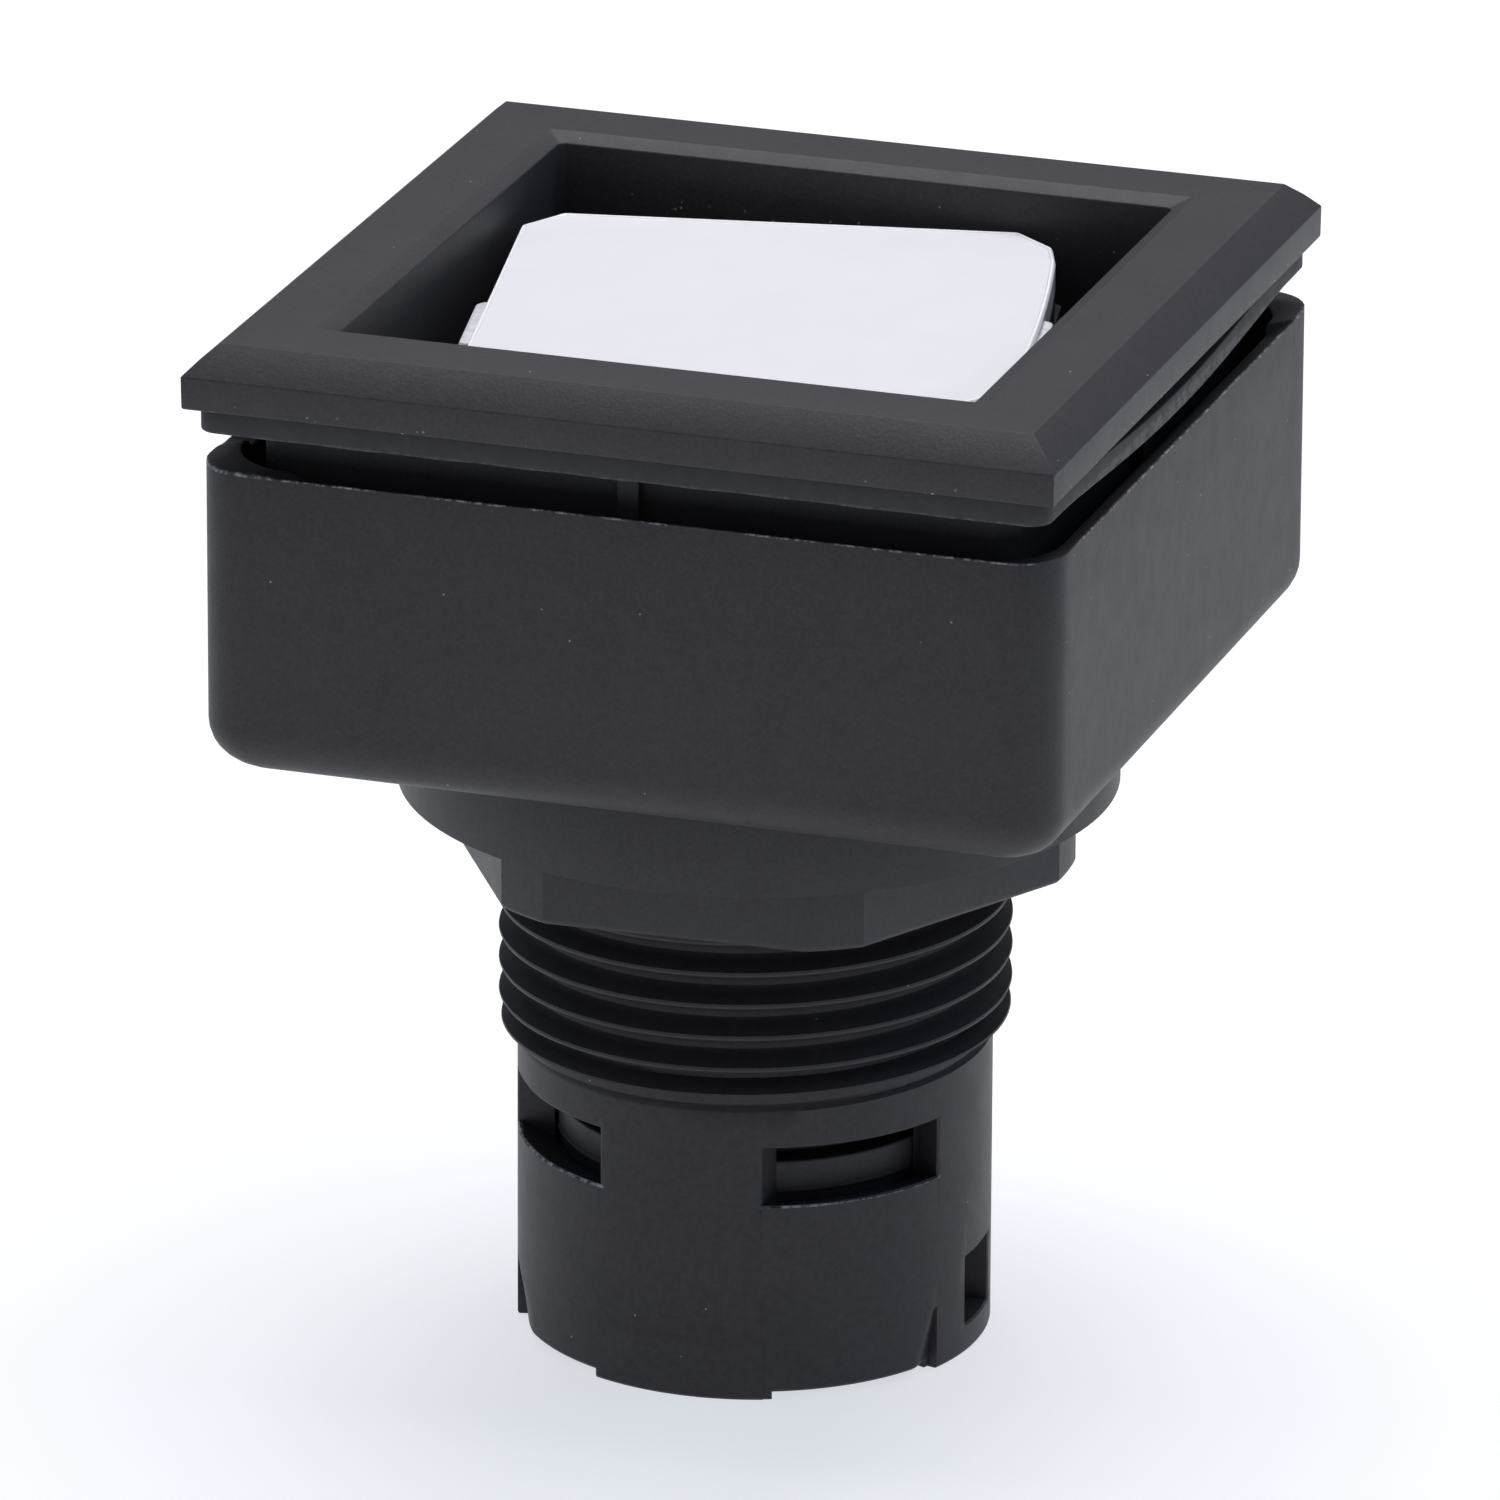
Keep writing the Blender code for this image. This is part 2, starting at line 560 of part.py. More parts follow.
def make_guide_sleeve():
    """Liner in the barrel. The band at its foot shows through the bayonet recesses."""
    groove = SLEEVE_RADIUS - SLEEVE_GROOVE_DEPTH
    groove_bottom = RECESS_BOTTOM + SLEEVE_BAND
    groove_top = groove_bottom + SLEEVE_GROOVE_HEIGHT
    hole = STEM_RADIUS + SEAT_GAP
    profile = [
        (hole, RECESS_BOTTOM),
        (SLEEVE_RADIUS, RECESS_BOTTOM),
        (SLEEVE_RADIUS, groove_bottom),
        (groove, groove_bottom),
        (groove, groove_top),
        (SLEEVE_RADIUS, groove_top),
        (SLEEVE_RADIUS, SLEEVE_TOP),
        (SLEEVE_BORE, SLEEVE_TOP),
        (SLEEVE_BORE, SLEEVE_FLOOR_TOP),
        (hole, SLEEVE_FLOOR_TOP),
    ]
    return turned("guide_sleeve", profile, material("guide_sleeve_plastic", (0.04, 0.041, 0.045), 0.4))


def open_ring(name, inner, outer, top, thickness, slit, made):
    span = 2 * math.pi - slit
    return sector(name, inner, outer, top - thickness, top, math.pi / 2 + slit / 2, span, made)


def make_retaining_ring():
    made = material("retaining_ring_steel", (0.5, 0.5, 0.51), 0.3)
    outer = RING_GROOVE_RADIUS - SEAT_GAP
    return open_ring("retaining_ring", RING_BORE, outer, RING_TOP - SEAT_GAP, RING_THICKNESS, RING_SLIT, made)


def make_plunger_seal():
    """Seal with a lip, on top of the guide sleeve."""
    inner = PLUNGER_RADIUS + SEAT_GAP
    outer = BARREL_BORE - SEAT_GAP
    bottom = SLEEVE_TOP + SEAT_GAP
    top = bottom + PLUNGER_SEAL_HEIGHT
    middle = (inner + outer) / 2
    profile = [
        (inner, bottom),
        (outer, bottom),
        (outer, top),
        (middle, bottom + PLUNGER_SEAL_HEIGHT / 2),
        (inner, top),
    ]
    return turned("plunger_seal", profile, material("plunger_seal_rubber", (0.02, 0.02, 0.021), 0.8))


def make_plunger():
    """Tube that carries the head. Its stem passes through the sleeve's floor and ends in two prongs."""
    groove = STEM_RADIUS - CLIP_GROOVE_DEPTH
    groove_bottom = CLIP_BOTTOM - SEAT_GAP
    groove_top = CLIP_TOP + SEAT_GAP
    profile = [
        (STEM_BORE, STEM_END),
        (STEM_RADIUS, STEM_END),
        (STEM_RADIUS, groove_bottom),
        (groove, groove_bottom),
        (groove, groove_top),
        (STEM_RADIUS, groove_top),
        (STEM_RADIUS, PLUNGER_SHOULDER),
        (PLUNGER_RADIUS, PLUNGER_SHOULDER),
        (PLUNGER_RADIUS, PLUNGER_TOP),
        (PLUNGER_BORE, PLUNGER_TOP),
        (PLUNGER_BORE, PLUNGER_STEP_TOP),
        (STEM_BORE, PLUNGER_STEP_TOP),
    ]
    made = material("plunger_plastic", (0.55, 0.55, 0.53), 0.45)
    plunger = turned("plunger", profile, made)
    height = STEM_SLOT_HEIGHT + MM
    centre = (0.0, 0.0, STEM_END + STEM_SLOT_HEIGHT - height / 2)
    slot = block("stem_slot", (4 * STEM_RADIUS, STEM_SLOT_WIDTH, height), centre)
    combine(plunger, slot, "DIFFERENCE")
    return plunger


def make_plunger_clip():
    """Clip on the stem that stops the plunger under the sleeve's floor."""
    made = material("plunger_clip_steel", (0.5, 0.5, 0.51), 0.3)
    inner = STEM_RADIUS - CLIP_GROOVE_DEPTH + 0.6 * SEAT_GAP
    return open_ring("plunger_clip", inner, CLIP_RADIUS, CLIP_TOP, CLIP_THICKNESS, CLIP_SLIT, made)


def make_return_spring():
    """Coil between the sleeve's floor and the plunger's shoulder, with closed end turns."""
    low = SLEEVE_FLOOR_TOP + SEAT_GAP + SPRING_WIRE_RADIUS
    high = PLUNGER_SHOULDER - SEAT_GAP - SPRING_WIRE_RADIUS
    end_rise = SPRING_END_TURNS * 2.5 * SPRING_WIRE_RADIUS
    rise = high - low - 2 * end_rise
    open_turns = round(rise / SPRING_PITCH)
    turns = open_turns + 2 * SPRING_END_TURNS
    steps_per_turn = 24
    rings = []
    for step in range(turns * steps_per_turn + 1):
        turn = step / steps_per_turn
        if turn < SPRING_END_TURNS:
            height = low + end_rise * turn / SPRING_END_TURNS
        elif turn > turns - SPRING_END_TURNS:
            height = high - end_rise * (turns - turn) / SPRING_END_TURNS
        else:
            height = low + end_rise + rise * (turn - SPRING_END_TURNS) / open_turns
        angle = 2 * math.pi * turn
        ring = []
        for side in range(8):
            around = 2 * math.pi * side / 8
            radius = SPRING_MEAN_RADIUS + SPRING_WIRE_RADIUS * math.cos(around)
            z = height + SPRING_WIRE_RADIUS * math.sin(around)
            ring.append((radius * math.cos(angle), radius * math.sin(angle), z))
        rings.append(ring)
    made = material("return_spring_steel", (0.6, 0.6, 0.61), 0.25)
    return finished("return_spring", joined_rings(rings, False), made)


def make_light_guide():
    """Clear rod that brings light up the plunger to the lens."""
    profile = [
        (0.0, GUIDE_END),
        (GUIDE_ROD_RADIUS, GUIDE_END),
        (GUIDE_ROD_RADIUS, GUIDE_HEAD_BOTTOM),
        (GUIDE_HEAD_RADIUS, GUIDE_HEAD_BOTTOM),
        (GUIDE_HEAD_RADIUS, GUIDE_HEAD_TOP),
        (0.7 * GUIDE_HEAD_RADIUS, GUIDE_HEAD_TOP + 0.7 * GUIDE_DOME),
        (0.0, GUIDE_HEAD_TOP + GUIDE_DOME),
    ]
    return turned("light_guide", profile, material("light_guide_clear", (0.9, 0.92, 0.93), 0.08, 1.0))


def turned_head(obj):
    obj.rotation_euler.z = HEAD_TURN
    return obj


def make_lens_carrier():
    """Tray under the lens with a neck that snaps into the plunger."""
    width = LENS_WIDTH
    rim_top = LEGEND_TOP
    sections = [
        (width, LENS_CUT, CARRIER_BOTTOM),
        (width, LENS_CUT, CARRIER_FLOOR_TOP),
        (CARRIER_RIM, LENS_CUT, CARRIER_FLOOR_TOP),
        (CARRIER_RIM, LENS_CUT, rim_top),
        (CARRIER_RIM - 2 * CARRIER_RIM_WALL, LENS_CUT, rim_top),
        (CARRIER_RIM - 2 * CARRIER_RIM_WALL, LENS_CUT, CARRIER_FLOOR_TOP),
    ]
    made = material("lens_carrier_plastic", (0.6, 0.6, 0.59), 0.4)
    carrier = finished("lens_carrier", joined_rings(square_rings(sections, 1), False), made, smooth=False)
    middle = (CARRIER_BOTTOM + CARRIER_FLOOR_TOP) / 2
    combine(carrier, disc("carrier_neck", NECK_RADIUS, NECK_BOTTOM, middle), "UNION")
    bore = NECK_RADIUS - CARRIER_NECK_WALL
    combine(carrier, disc("carrier_bore", bore, NECK_BOTTOM - MM, rim_top + MM), "DIFFERENCE")
    return turned_head(carrier)


def make_plate(name, top, made):
    """A thin plate with cut corners, in the carrier's tray."""
    sections = [(PLATE_WIDTH, LENS_CUT, top - PLATE_THICKNESS), (PLATE_WIDTH, LENS_CUT, top)]
    return turned_head(finished(name, joined_rings(square_rings(sections, 1), False), made, smooth=False))


def make_lens_seal():
    """Thin square ring on the carrier, under the lens's skirt."""
    bottom = CARRIER_FLOOR_TOP + SEAT_GAP
    top = LENS_SKIRT - SEAT_GAP
    inner = CARRIER_RIM + 2 * SEAT_GAP
    sections = [
        (LENS_WIDTH, LENS_CUT, bottom),
        (LENS_WIDTH, LENS_CUT, top),
        (inner, LENS_CUT, top),
        (inner, LENS_CUT, bottom),
    ]
    made = material("lens_seal_rubber", (0.7, 0.7, 0.7), 0.6)
    seal = finished("lens_seal", joined_rings(square_rings(sections, 1), True), made, smooth=False)
    return turned_head(seal)


def make_lens_cap():
    """White lens with cut corners, a skirt and a tab on two sides."""
    inner = LENS_WIDTH - 2 * LENS_WALL
    sections = [
        (inner, LENS_CUT, LENS_CEILING),
        (inner, LENS_CUT, LENS_SKIRT),
        (LENS_WIDTH, LENS_CUT, LENS_SKIRT),
        (LENS_WIDTH, LENS_CUT, LENS_FACE - LENS_EDGE),
        (LENS_WIDTH - 2 * LENS_EDGE, LENS_CUT, LENS_FACE),
    ]
    made = material("lens_cap_white", (0.86, 0.86, 0.89), 0.25)
    cap = finished("lens_cap", joined_rings(square_rings(sections, 1), False), made, smooth=False)
    depth = TAB_REACH + LENS_WALL / 2
    for index, side in enumerate((-1, 1)):
        centre = (side * (LENS_WIDTH / 2 + TAB_REACH - depth / 2), 0.0, LENS_SKIRT + TAB_HEIGHT / 2)
        tab = block(f"lens_tab_{index + 1}", (depth, TAB_WIDTH, TAB_HEIGHT), centre)
        tab.rotation_euler.z = HEAD_TURN
        tab.location = (0.0, 0.0, 0.0)
        combine(cap, tab, "UNION")
    return turned_head(cap)


def build():
    clear_scene()
    make_front_frame()
    make_front_gasket()
    make_well_housing()
    make_barrel_seal()
    make_threaded_barrel()
    make_clamp_cup()
    make_thrust_washer()
    make_lock_nut()
    make_guide_sleeve()
    make_retaining_ring()
    make_plunger_seal()
    make_plunger()
    make_plunger_clip()
    make_return_spring()
    make_light_guide()
    make_lens_carrier()
    make_plate("diffuser_plate", DIFFUSER_TOP, material("diffuser_frosted", (0.8, 0.8, 0.8), 0.5))
    make_plate("legend_plate", LEGEND_TOP, material("legend_white", (0.85, 0.85, 0.85), 0.35))
    make_lens_seal()
    make_lens_cap()


build()
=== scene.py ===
"""Look of the illuminated push button: fine forms, materials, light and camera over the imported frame."""
import json
import math

import bmesh
import bpy
from mathutils import Matrix, Vector


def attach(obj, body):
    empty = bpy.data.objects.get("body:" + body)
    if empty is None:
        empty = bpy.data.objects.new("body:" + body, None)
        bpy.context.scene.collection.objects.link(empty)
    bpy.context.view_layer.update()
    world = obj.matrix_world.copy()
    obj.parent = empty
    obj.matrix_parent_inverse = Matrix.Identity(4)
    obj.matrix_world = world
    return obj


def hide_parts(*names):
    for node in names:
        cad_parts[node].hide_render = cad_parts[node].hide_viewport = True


MM = 0.001
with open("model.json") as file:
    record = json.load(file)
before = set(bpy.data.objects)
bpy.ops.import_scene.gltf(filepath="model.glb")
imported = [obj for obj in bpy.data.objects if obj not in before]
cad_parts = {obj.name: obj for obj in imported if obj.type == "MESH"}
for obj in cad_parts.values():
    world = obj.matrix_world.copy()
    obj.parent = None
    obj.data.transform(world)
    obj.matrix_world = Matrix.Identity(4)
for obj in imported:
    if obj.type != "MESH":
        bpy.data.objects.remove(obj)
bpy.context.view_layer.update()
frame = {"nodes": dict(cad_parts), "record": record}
NODES = frame["nodes"]

# Camera, fitted to the photograph. The aim is counted from the middle of the frame's top, along the image.
CAMERA_AZIMUTH = math.radians(18.608)
CAMERA_ELEVATION = math.radians(19.951)
CAMERA_ROLL = math.radians(0.264)
CAMERA_DISTANCE = 633.145 * MM
CAMERA_LENS = 360.86
AIM_SIDE = -0.377 * MM
AIM_UP = -20.551 * MM

# All sizes below are in mm and degrees. Heights are counted from the barrel's rear edge.
TOP = 47.6
FRAME_BOTTOM = TOP - 2.66
PLUG_BOTTOM = FRAME_BOTTOM - 4.0
GASKET_TOP = FRAME_BOTTOM - 0.03
GASKET_BOTTOM = FRAME_BOTTOM - 1.08
CUP_RIM = FRAME_BOTTOM - 2.65
BARREL_TOP = 36.6
COLLAR_BOTTOM = 35.4
CUP_BOTTOM = 28.8
FLANGE_TOP = 28.55
FLANGE_BOTTOM = 24.8
NUT_BOTTOM = 21.6
WALL_TOP = 12.1

# Front frame and gasket, as half widths.
PLUG_HALF = 14.85
OPENING_HALF = 13.85
GASKET_HALF = 18.52
GASKET_INNER = 17.35
GASKET_BOW = 0.7

# Clamp cup, a little off the axis. Its rim has raised pads at the corners and falls inward between them.
CUP_HALF = 18.74
CUP_INNER = 17.85
CUP_SHIFT = 0.15
CUP_CORNER = 2.1
CUP_INNER_CORNER = 3.2
CUP_FILLET = 2.2
CUP_FLOOR = 1.6
CUP_HOLE = 11.4
PAD_RISE = 0.1
RIM_FALL = 0.36

# Lock nut. The washer lies in a seat in the flange's top.
NUT_APOTHEM = 12.5
NUT_CORNER = 13.75
NUT_TURN = -28.0
NUT_BORE = 11.2
FLANGE_RADIUS = 15.42
SEAT_RADIUS = 13.65
SEAT_DEPTH = 1.05

# Lens, turned against the frame. Its +X side is bowed, and three sides stand a little in or out.
LENS_FACE = TOP - 2.0
LENS_HALF = 11.56
LENS_BOW = 0.58
LENS_NARROW = 0.06
LENS_BACK = 0.18
LENS_LEFT = 0.14
LENS_CUT = 1.68
LENS_RIM = 0.17
LENS_EDGE = 1.25
LENS_SHIFT = (-0.16, -0.054)
LENS_TURN = math.radians(11.5)
LENS_BOTTOM = LENS_FACE - 2.4
LENS_WALL = 0.9

# Thread. A crest stands at CREST_HEIGHT at CREST_ANGLE, on the camera's side of the barrel.
THREAD_RADIUS = 11.0
THREAD_ROOT = 9.98
CREST_ROUND = 0.03
PITCH = 1.43
CREST_HEIGHT = 15.35
CREST_ANGLE = -71.0
THREAD_STEPS = 14
THREAD_TURNS = 15

# Barrel. The columns of points up its wall are counted from the angle SEAM.
BARREL_RADIUS = 10.2
BARREL_SHIFT = -0.1
BARREL_BORE = 8.8
COLLAR_RADIUS = 12.6
SEAM = 90.0
EDGE_SOFT = 0.1

# Guide sleeve. Its band shows in the recesses, over a small bead and under a groove.
SLEEVE_RADIUS = 8.55
SLEEVE_BORE = 7.0
SLEEVE_MOUTH = 4.85
SLEEVE_BOTTOM = 8.3
SLEEVE_TOP = 33.6
BAND_BOTTOM = 8.86
BEAD_RADIUS = 8.6
GROOVE_RADIUS = 7.45
GROOVE_TOP = 11.65
SLEEVE_FLOOR = 10.33

# The barrel's holes, as (first angle, last angle, bottom, top).
RECESSES = [(-69.7 + 90 * k, -21.6 + 90 * k, 8.86, 11.47) for k in range(4)]
WINDOWS = [(-8.8 + 180 * k, 8.8 + 180 * k, 1.3, 4.4) for k in range(2)]
NOTCHES = [(23.0 + 90 * k, 67.0 + 90 * k, -1.0, 0.35) for k in range(4)]
HOLES = RECESSES + WINDOWS + NOTCHES

# Draft of the recesses: how far their lower side falls inward, and by what angle their ends lean in.
RECESS_FALL = 0.45
RECESS_LEANS = (4.4, -3.3)
RECESS_INNER = 8.64

# Wedges beside the windows, at these angles from a window's middle.
WINDOW_MIDDLES = (0.0, 180.0)
SHORT_WEDGE = (-31.0, -21.6)
LONG_WEDGE = (21.6, 40.0)
WEDGE_TOP = 2.9
SHORT_DEPTH = 0.4
LONG_DEPTH = 0.64

# The feet stand out a little low down, between these angles.
FOOT_LINES = [(-112.6 + 180 * k, -69.3 + 180 * k) for k in range(2)]
FOOT_LINE_TOP = 2.5
FOOT_RISE = 0.05


def linked(name, data):
    """A new object in the scene."""
    obj = bpy.data.objects.new(name, data)
    bpy.context.scene.collection.objects.link(obj)
    return obj


def piece(name, bm, body, replaced, slot, sharp=32.0):
    """A piece of the dressed part from a bmesh in millimetres. Edges above the sharp angle stay hard."""
    bmesh.ops.remove_doubles(bm, verts=bm.verts, dist=1e-4)
    bmesh.ops.recalc_face_normals(bm, faces=bm.faces)
    bmesh.ops.scale(bm, vec=(MM, MM, MM), verts=bm.verts)
    mesh = bpy.data.meshes.new(name)
    bm.to_mesh(mesh)
    bm.free()
    mesh.shade_smooth()
    mesh.set_sharp_from_angle(angle=math.radians(sharp))
    mesh.materials.append(PAINTS[slot])
    obj = linked(name, mesh)
    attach(obj, body)
    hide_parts(replaced)


def join_loops(bm, loops, wrap=False):
    """Faces between closed loops of points. Wrapped, the last loop meets the first."""
    pairs = list(zip(loops, loops[1:]))
    if wrap:
        pairs.append((loops[-1], loops[0]))
    for low, high in pairs:
        for i in range(len(low)):
            j = (i + 1) % len(low)
            bm.faces.new((low[i], low[j], high[j], high[i]))


def add_skin(bm, rows, wrap=False, cap=False):
    """A skin over closed rows of places. Capped, both ends are filled."""
    loops = [[bm.verts.new(point) for point in row] for row in rows]
    join_loops(bm, loops, wrap)
    if cap:
        bm.faces.new(reversed(loops[0]))
        bm.faces.new(loops[-1])


def ring_skin(rows):
    """A new mesh with a skin whose last row meets the first."""
    bm = bmesh.new()
    add_skin(bm, rows, wrap=True)
    return bm


def filleted(corners, closed=True, steps=4):
    """Points of a flat outline whose (a, z, radius) corners are rounded."""
    points = []
    count = len(corners)
    for index, (a, z, radius) in enumerate(corners):
        here = Vector((a, z))
        if radius == 0 or (not closed and index in (0, count - 1)):
            points.append((a, z))
            continue
        before = (Vector(corners[index - 1][:2]) - here).normalized()
        after = (Vector(corners[(index + 1) % count][:2]) - here).normalized()
        half = before.angle(after) / 2
        centre = here + (before + after).normalized() * radius / math.sin(half)
        start = here + before * radius / math.tan(half) - centre
        end = here + after * radius / math.tan(half) - centre
        sweep = start.angle_signed(end)
        for step in range(steps + 1):
            spoke = start.copy()
            spoke.rotate(Matrix.Rotation(-sweep * step / steps, 2))
            points.append(tuple(centre + spoke))
    return points


def quarter_steps(steps):
    """Angles in radians from 0 to a quarter turn."""
    return [step / steps * math.pi / 2 for step in range(steps + 1)]


def square_row(half, corner, steps, cuts=()):
    """(x, y) points round a square. cuts are extra places on each side, as distances from its middle."""
    reach = half - corner
    local = []
    for angle in quarter_steps(steps):
        local.append((reach + corner * math.cos(angle), reach + corner * math.sin(angle)))
    local += [(place, half) for place in sorted(cuts, reverse=True)]
    row = []
    for quarter in range(4):
        turn = quarter * math.pi / 2
        along, across = math.cos(turn), math.sin(turn)
        row += [(x * along - y * across, x * across + y * along) for x, y in local]
    return row


def turned_rows(profile, steps, shift=0.0):
    """Rows of points round an axis that stands shift along X, one for each (radius, height)."""
    turns = [2 * math.pi * step / steps for step in range(steps)]
    return [[(shift + r * math.cos(turn), r * math.sin(turn), z) for turn in turns] for r, z in profile]


def smooth(low, high, value):
    """0 to 1 as the value goes from low to high, soft at both ends."""
    t = min(1.0, max(0.0, (value - low) / (high - low)))
    return t * t * (3 - 2 * t)


# Materials.

# Noise seldom leaves this range, so colours and values are stretched over it.
NOISE_LOW = 0.3
NOISE_HIGH = 0.7

IN_THE_DARK = (0.02, 0.02, 0.02)


class Paint:
    """A Principled material with a few procedural helpers. Coordinates are the object's, in millimetres."""

    def __init__(self, name):
        self.material = bpy.data.materials.new(name)
        self.material.use_nodes = True
        self.tree = self.material.node_tree
        self.shader = self.tree.nodes["Principled BSDF"]
        coordinates = self.tree.nodes.new("ShaderNodeTexCoord")
        scale = self.tree.nodes.new("ShaderNodeVectorMath")
        scale.operation = "SCALE"
        scale.inputs["Scale"].default_value = 1 / MM
        self.tree.links.new(coordinates.outputs["Object"], scale.inputs[0])
        self.place = scale.outputs[0]

    def set(self, **values):
        """Fills the shader's sockets."""
        self.fill(self.shader, values)

    def fill(self, node, values):
        """Puts values in a node's sockets by name, where _ stands for a space."""
        for name, value in values.items():
            node.inputs[name.replace("_", " ")].default_value = value

    def node(self, kind, **values):
        """A new node with those values in its sockets."""
        node = self.tree.nodes.new(kind)
        self.fill(node, values)
        return node

    def feed(self, socket, value):
        """Gives a socket a number, a colour or another node's output."""
        if isinstance(value, (int, float)):
            socket.default_value = value
        elif isinstance(value, tuple):
            socket.default_value = (*value, 1.0)
        else:
            self.tree.links.new(value, socket)

    def join(self, output, socket):
        """Feeds one of the shader's sockets."""
        self.tree.links.new(output, self.shader.inputs[socket])

    def noise(self, size, detail=2.0, stretch=(1.0, 1.0, 1.0), roughness=0.55):
        """Noise whose blobs are about that many millimetres across."""
        mapping = self.node("ShaderNodeMapping", Scale=stretch)
        self.feed(mapping.inputs["Vector"], self.place)
        node = self.node("ShaderNodeTexNoise", Scale=1.0 / size, Detail=detail, Roughness=roughness)
        self.feed(node.inputs["Vector"], mapping.outputs["Vector"])
        return node.outputs["Fac"]

    def specks(self, spacing, radius, share):
        """1 inside small dots, 0 elsewhere. They are that far apart, and share of them is kept."""
        cells = self.node("ShaderNodeTexVoronoi", Scale=1.0 / spacing)
        self.feed(cells.inputs["Vector"], self.place)
        near = self.maths("LESS_THAN", cells.outputs["Distance"], radius / spacing)
        split = self.tree.nodes.new("ShaderNodeSeparateColor")
        self.feed(split.inputs["Color"], cells.outputs["Color"])
        kept = self.maths("LESS_THAN", split.outputs[0], share)
        return self.product(near, kept)

    def split(self, place=None):
        """x, y and z of a place as sockets, of the object's own if none is given."""
        node = self.tree.nodes.new("ShaderNodeSeparateXYZ")
        self.feed(node.inputs[0], place or self.place)
        return node.outputs

    def maths(self, operation, first, second=0.0):
        """Result of a maths node."""
        node = self.tree.nodes.new("ShaderNodeMath")
        node.operation = operation
        for socket, value in zip(node.inputs, (first, second)):
            self.feed(socket, value)
        return node.outputs[0]

    def product(self, first, *others):
        """All of them multiplied."""
        for other in others:
            first = self.maths("MULTIPLY", first, other)
        return first

    def remap(self, value, start, end):
        """0 to 1 as the value goes from start to end."""
        node = self.node("ShaderNodeMapRange", From_Min=start, From_Max=end)
        self.feed(node.inputs["Value"], value)
        return node.outputs["Result"]

    def spread(self, factor, low, high):
        """The range of noise stretched from low to high."""
        ends = {"From_Min": NOISE_LOW, "From_Max": NOISE_HIGH, "To_Min": low, "To_Max": high}
        node = self.node("ShaderNodeMapRange", **ends)
        self.feed(node.inputs["Value"], factor)
        return node.outputs["Result"]

    def band(self, value, low, high, soft):
        """1 between low and high, 0 elsewhere, with edges that wide."""
        rise = self.remap(value, low - soft, low)
        fall = self.remap(value, high + soft, high)
        return self.product(rise, fall)

    def from_square(self, half, corner, shift=0.0):
        """Distance inward from a square with rounded corners."""
        x, y, _ = self.split()
        parts = []
        for value in (self.maths("ADD", x, -shift), y):
            away = self.maths("ADD", self.maths("ABSOLUTE", value), corner - half)
            parts.append(self.maths("POWER", self.maths("MAXIMUM", away, 0.0), 2.0))
        length = self.maths("SQRT", self.maths("ADD", *parts))
        return self.maths("SUBTRACT", corner, length)

    def from_axis(self):
        """Distance from the object's Z axis."""
        x, y, _ = self.split()
        return self.maths("SQRT", self.maths("ADD", self.product(x, x), self.product(y, y)))

    def ramp(self, factor, low, high):
        """Colour from low to high over the range of noise."""
        node = self.tree.nodes.new("ShaderNodeValToRGB")
        first, last = node.color_ramp.elements
        first.position, first.color = NOISE_LOW, (*low, 1.0)
        last.position, last.color = NOISE_HIGH, (*high, 1.0)
        self.feed(node.inputs["Fac"], factor)
        return node.outputs["Color"]

    def mixed(self, factor, first, second):
        """The first colour where the factor is 0, the second where it is 1."""
        node = self.tree.nodes.new("ShaderNodeMix")
        node.data_type = "RGBA"
        self.feed(node.inputs["Factor"], factor)
        self.feed(node.inputs[6], first)
        self.feed(node.inputs[7], second)
        return node.outputs[2]

    def finish(self, colour, roughness, height, depth):
        """Joins colour and roughness, and a bump with that depth in millimetres. Gives the material."""
        self.join(colour, "Base Color")
        self.join(roughness, "Roughness")
        node = self.node("ShaderNodeBump", Strength=1.0, Distance=depth * MM)
        self.feed(node.inputs["Height"], height)
        self.join(node.outputs["Normal"], "Normal")
        return self.material


def scaled(colour, factor):
    """The colour made darker or lighter by a factor."""
    return tuple(min(1.0, value * factor) for value in colour)


CLOUDING = 0.09
DUST_COLOUR = (0.42, 0.43, 0.45)
BURR_COLOUR = (0.3, 0.31, 0.33)


def black_plastic(
    name, base, roughness, grain=0.12, depth=0.006, specular=0.3, dust=0.16, worn=None, inside=None
):
    """Moulded black plastic: fine grain, faint clouding and a little pale dust.

    worn gives the places that are scuffed pale, and inside those where shade is painted, as a darker colour.
    """
    paint = Paint(name)
    paint.set(Specular_IOR_Level=specular)
    cloud = paint.spread(paint.noise(3.5, detail=3.0), 0.15, 0.85)
    colour = paint.mixed(cloud, scaled(base, 1 - CLOUDING), scaled(base, 1 + CLOUDING))
    speckle = paint.spread(paint.noise(grain * 1.6, roughness=0.7), 0.0, 0.5)
    colour = paint.mixed(speckle, colour, scaled(base, 1.7))
    if dust:
        dots = paint.specks(spacing=1.1, radius=0.045, share=dust)
        colour = paint.mixed(paint.product(dots, 0.55), colour, DUST_COLOUR)
    if worn:
        colour = paint.mixed(worn(paint), colour, BURR_COLOUR)
    # Painted shade: the inside places get half the base colour, as if no light reached them.
    if inside:
        colour = paint.mixed(inside(paint), colour, scaled(base, 0.5))
    gloss = paint.spread(paint.noise(1.3), roughness - 0.02, roughness + 0.03)
    return paint.finish(colour, gloss, paint.noise(grain, detail=3.0, roughness=0.65), depth)


def frayed(paint, mask, size, start, end):
    """The mask broken up by noise into short irregular bits."""
    bits = paint.remap(paint.noise(size, detail=4.0, roughness=0.75), start, end)
    return paint.product(mask, bits)


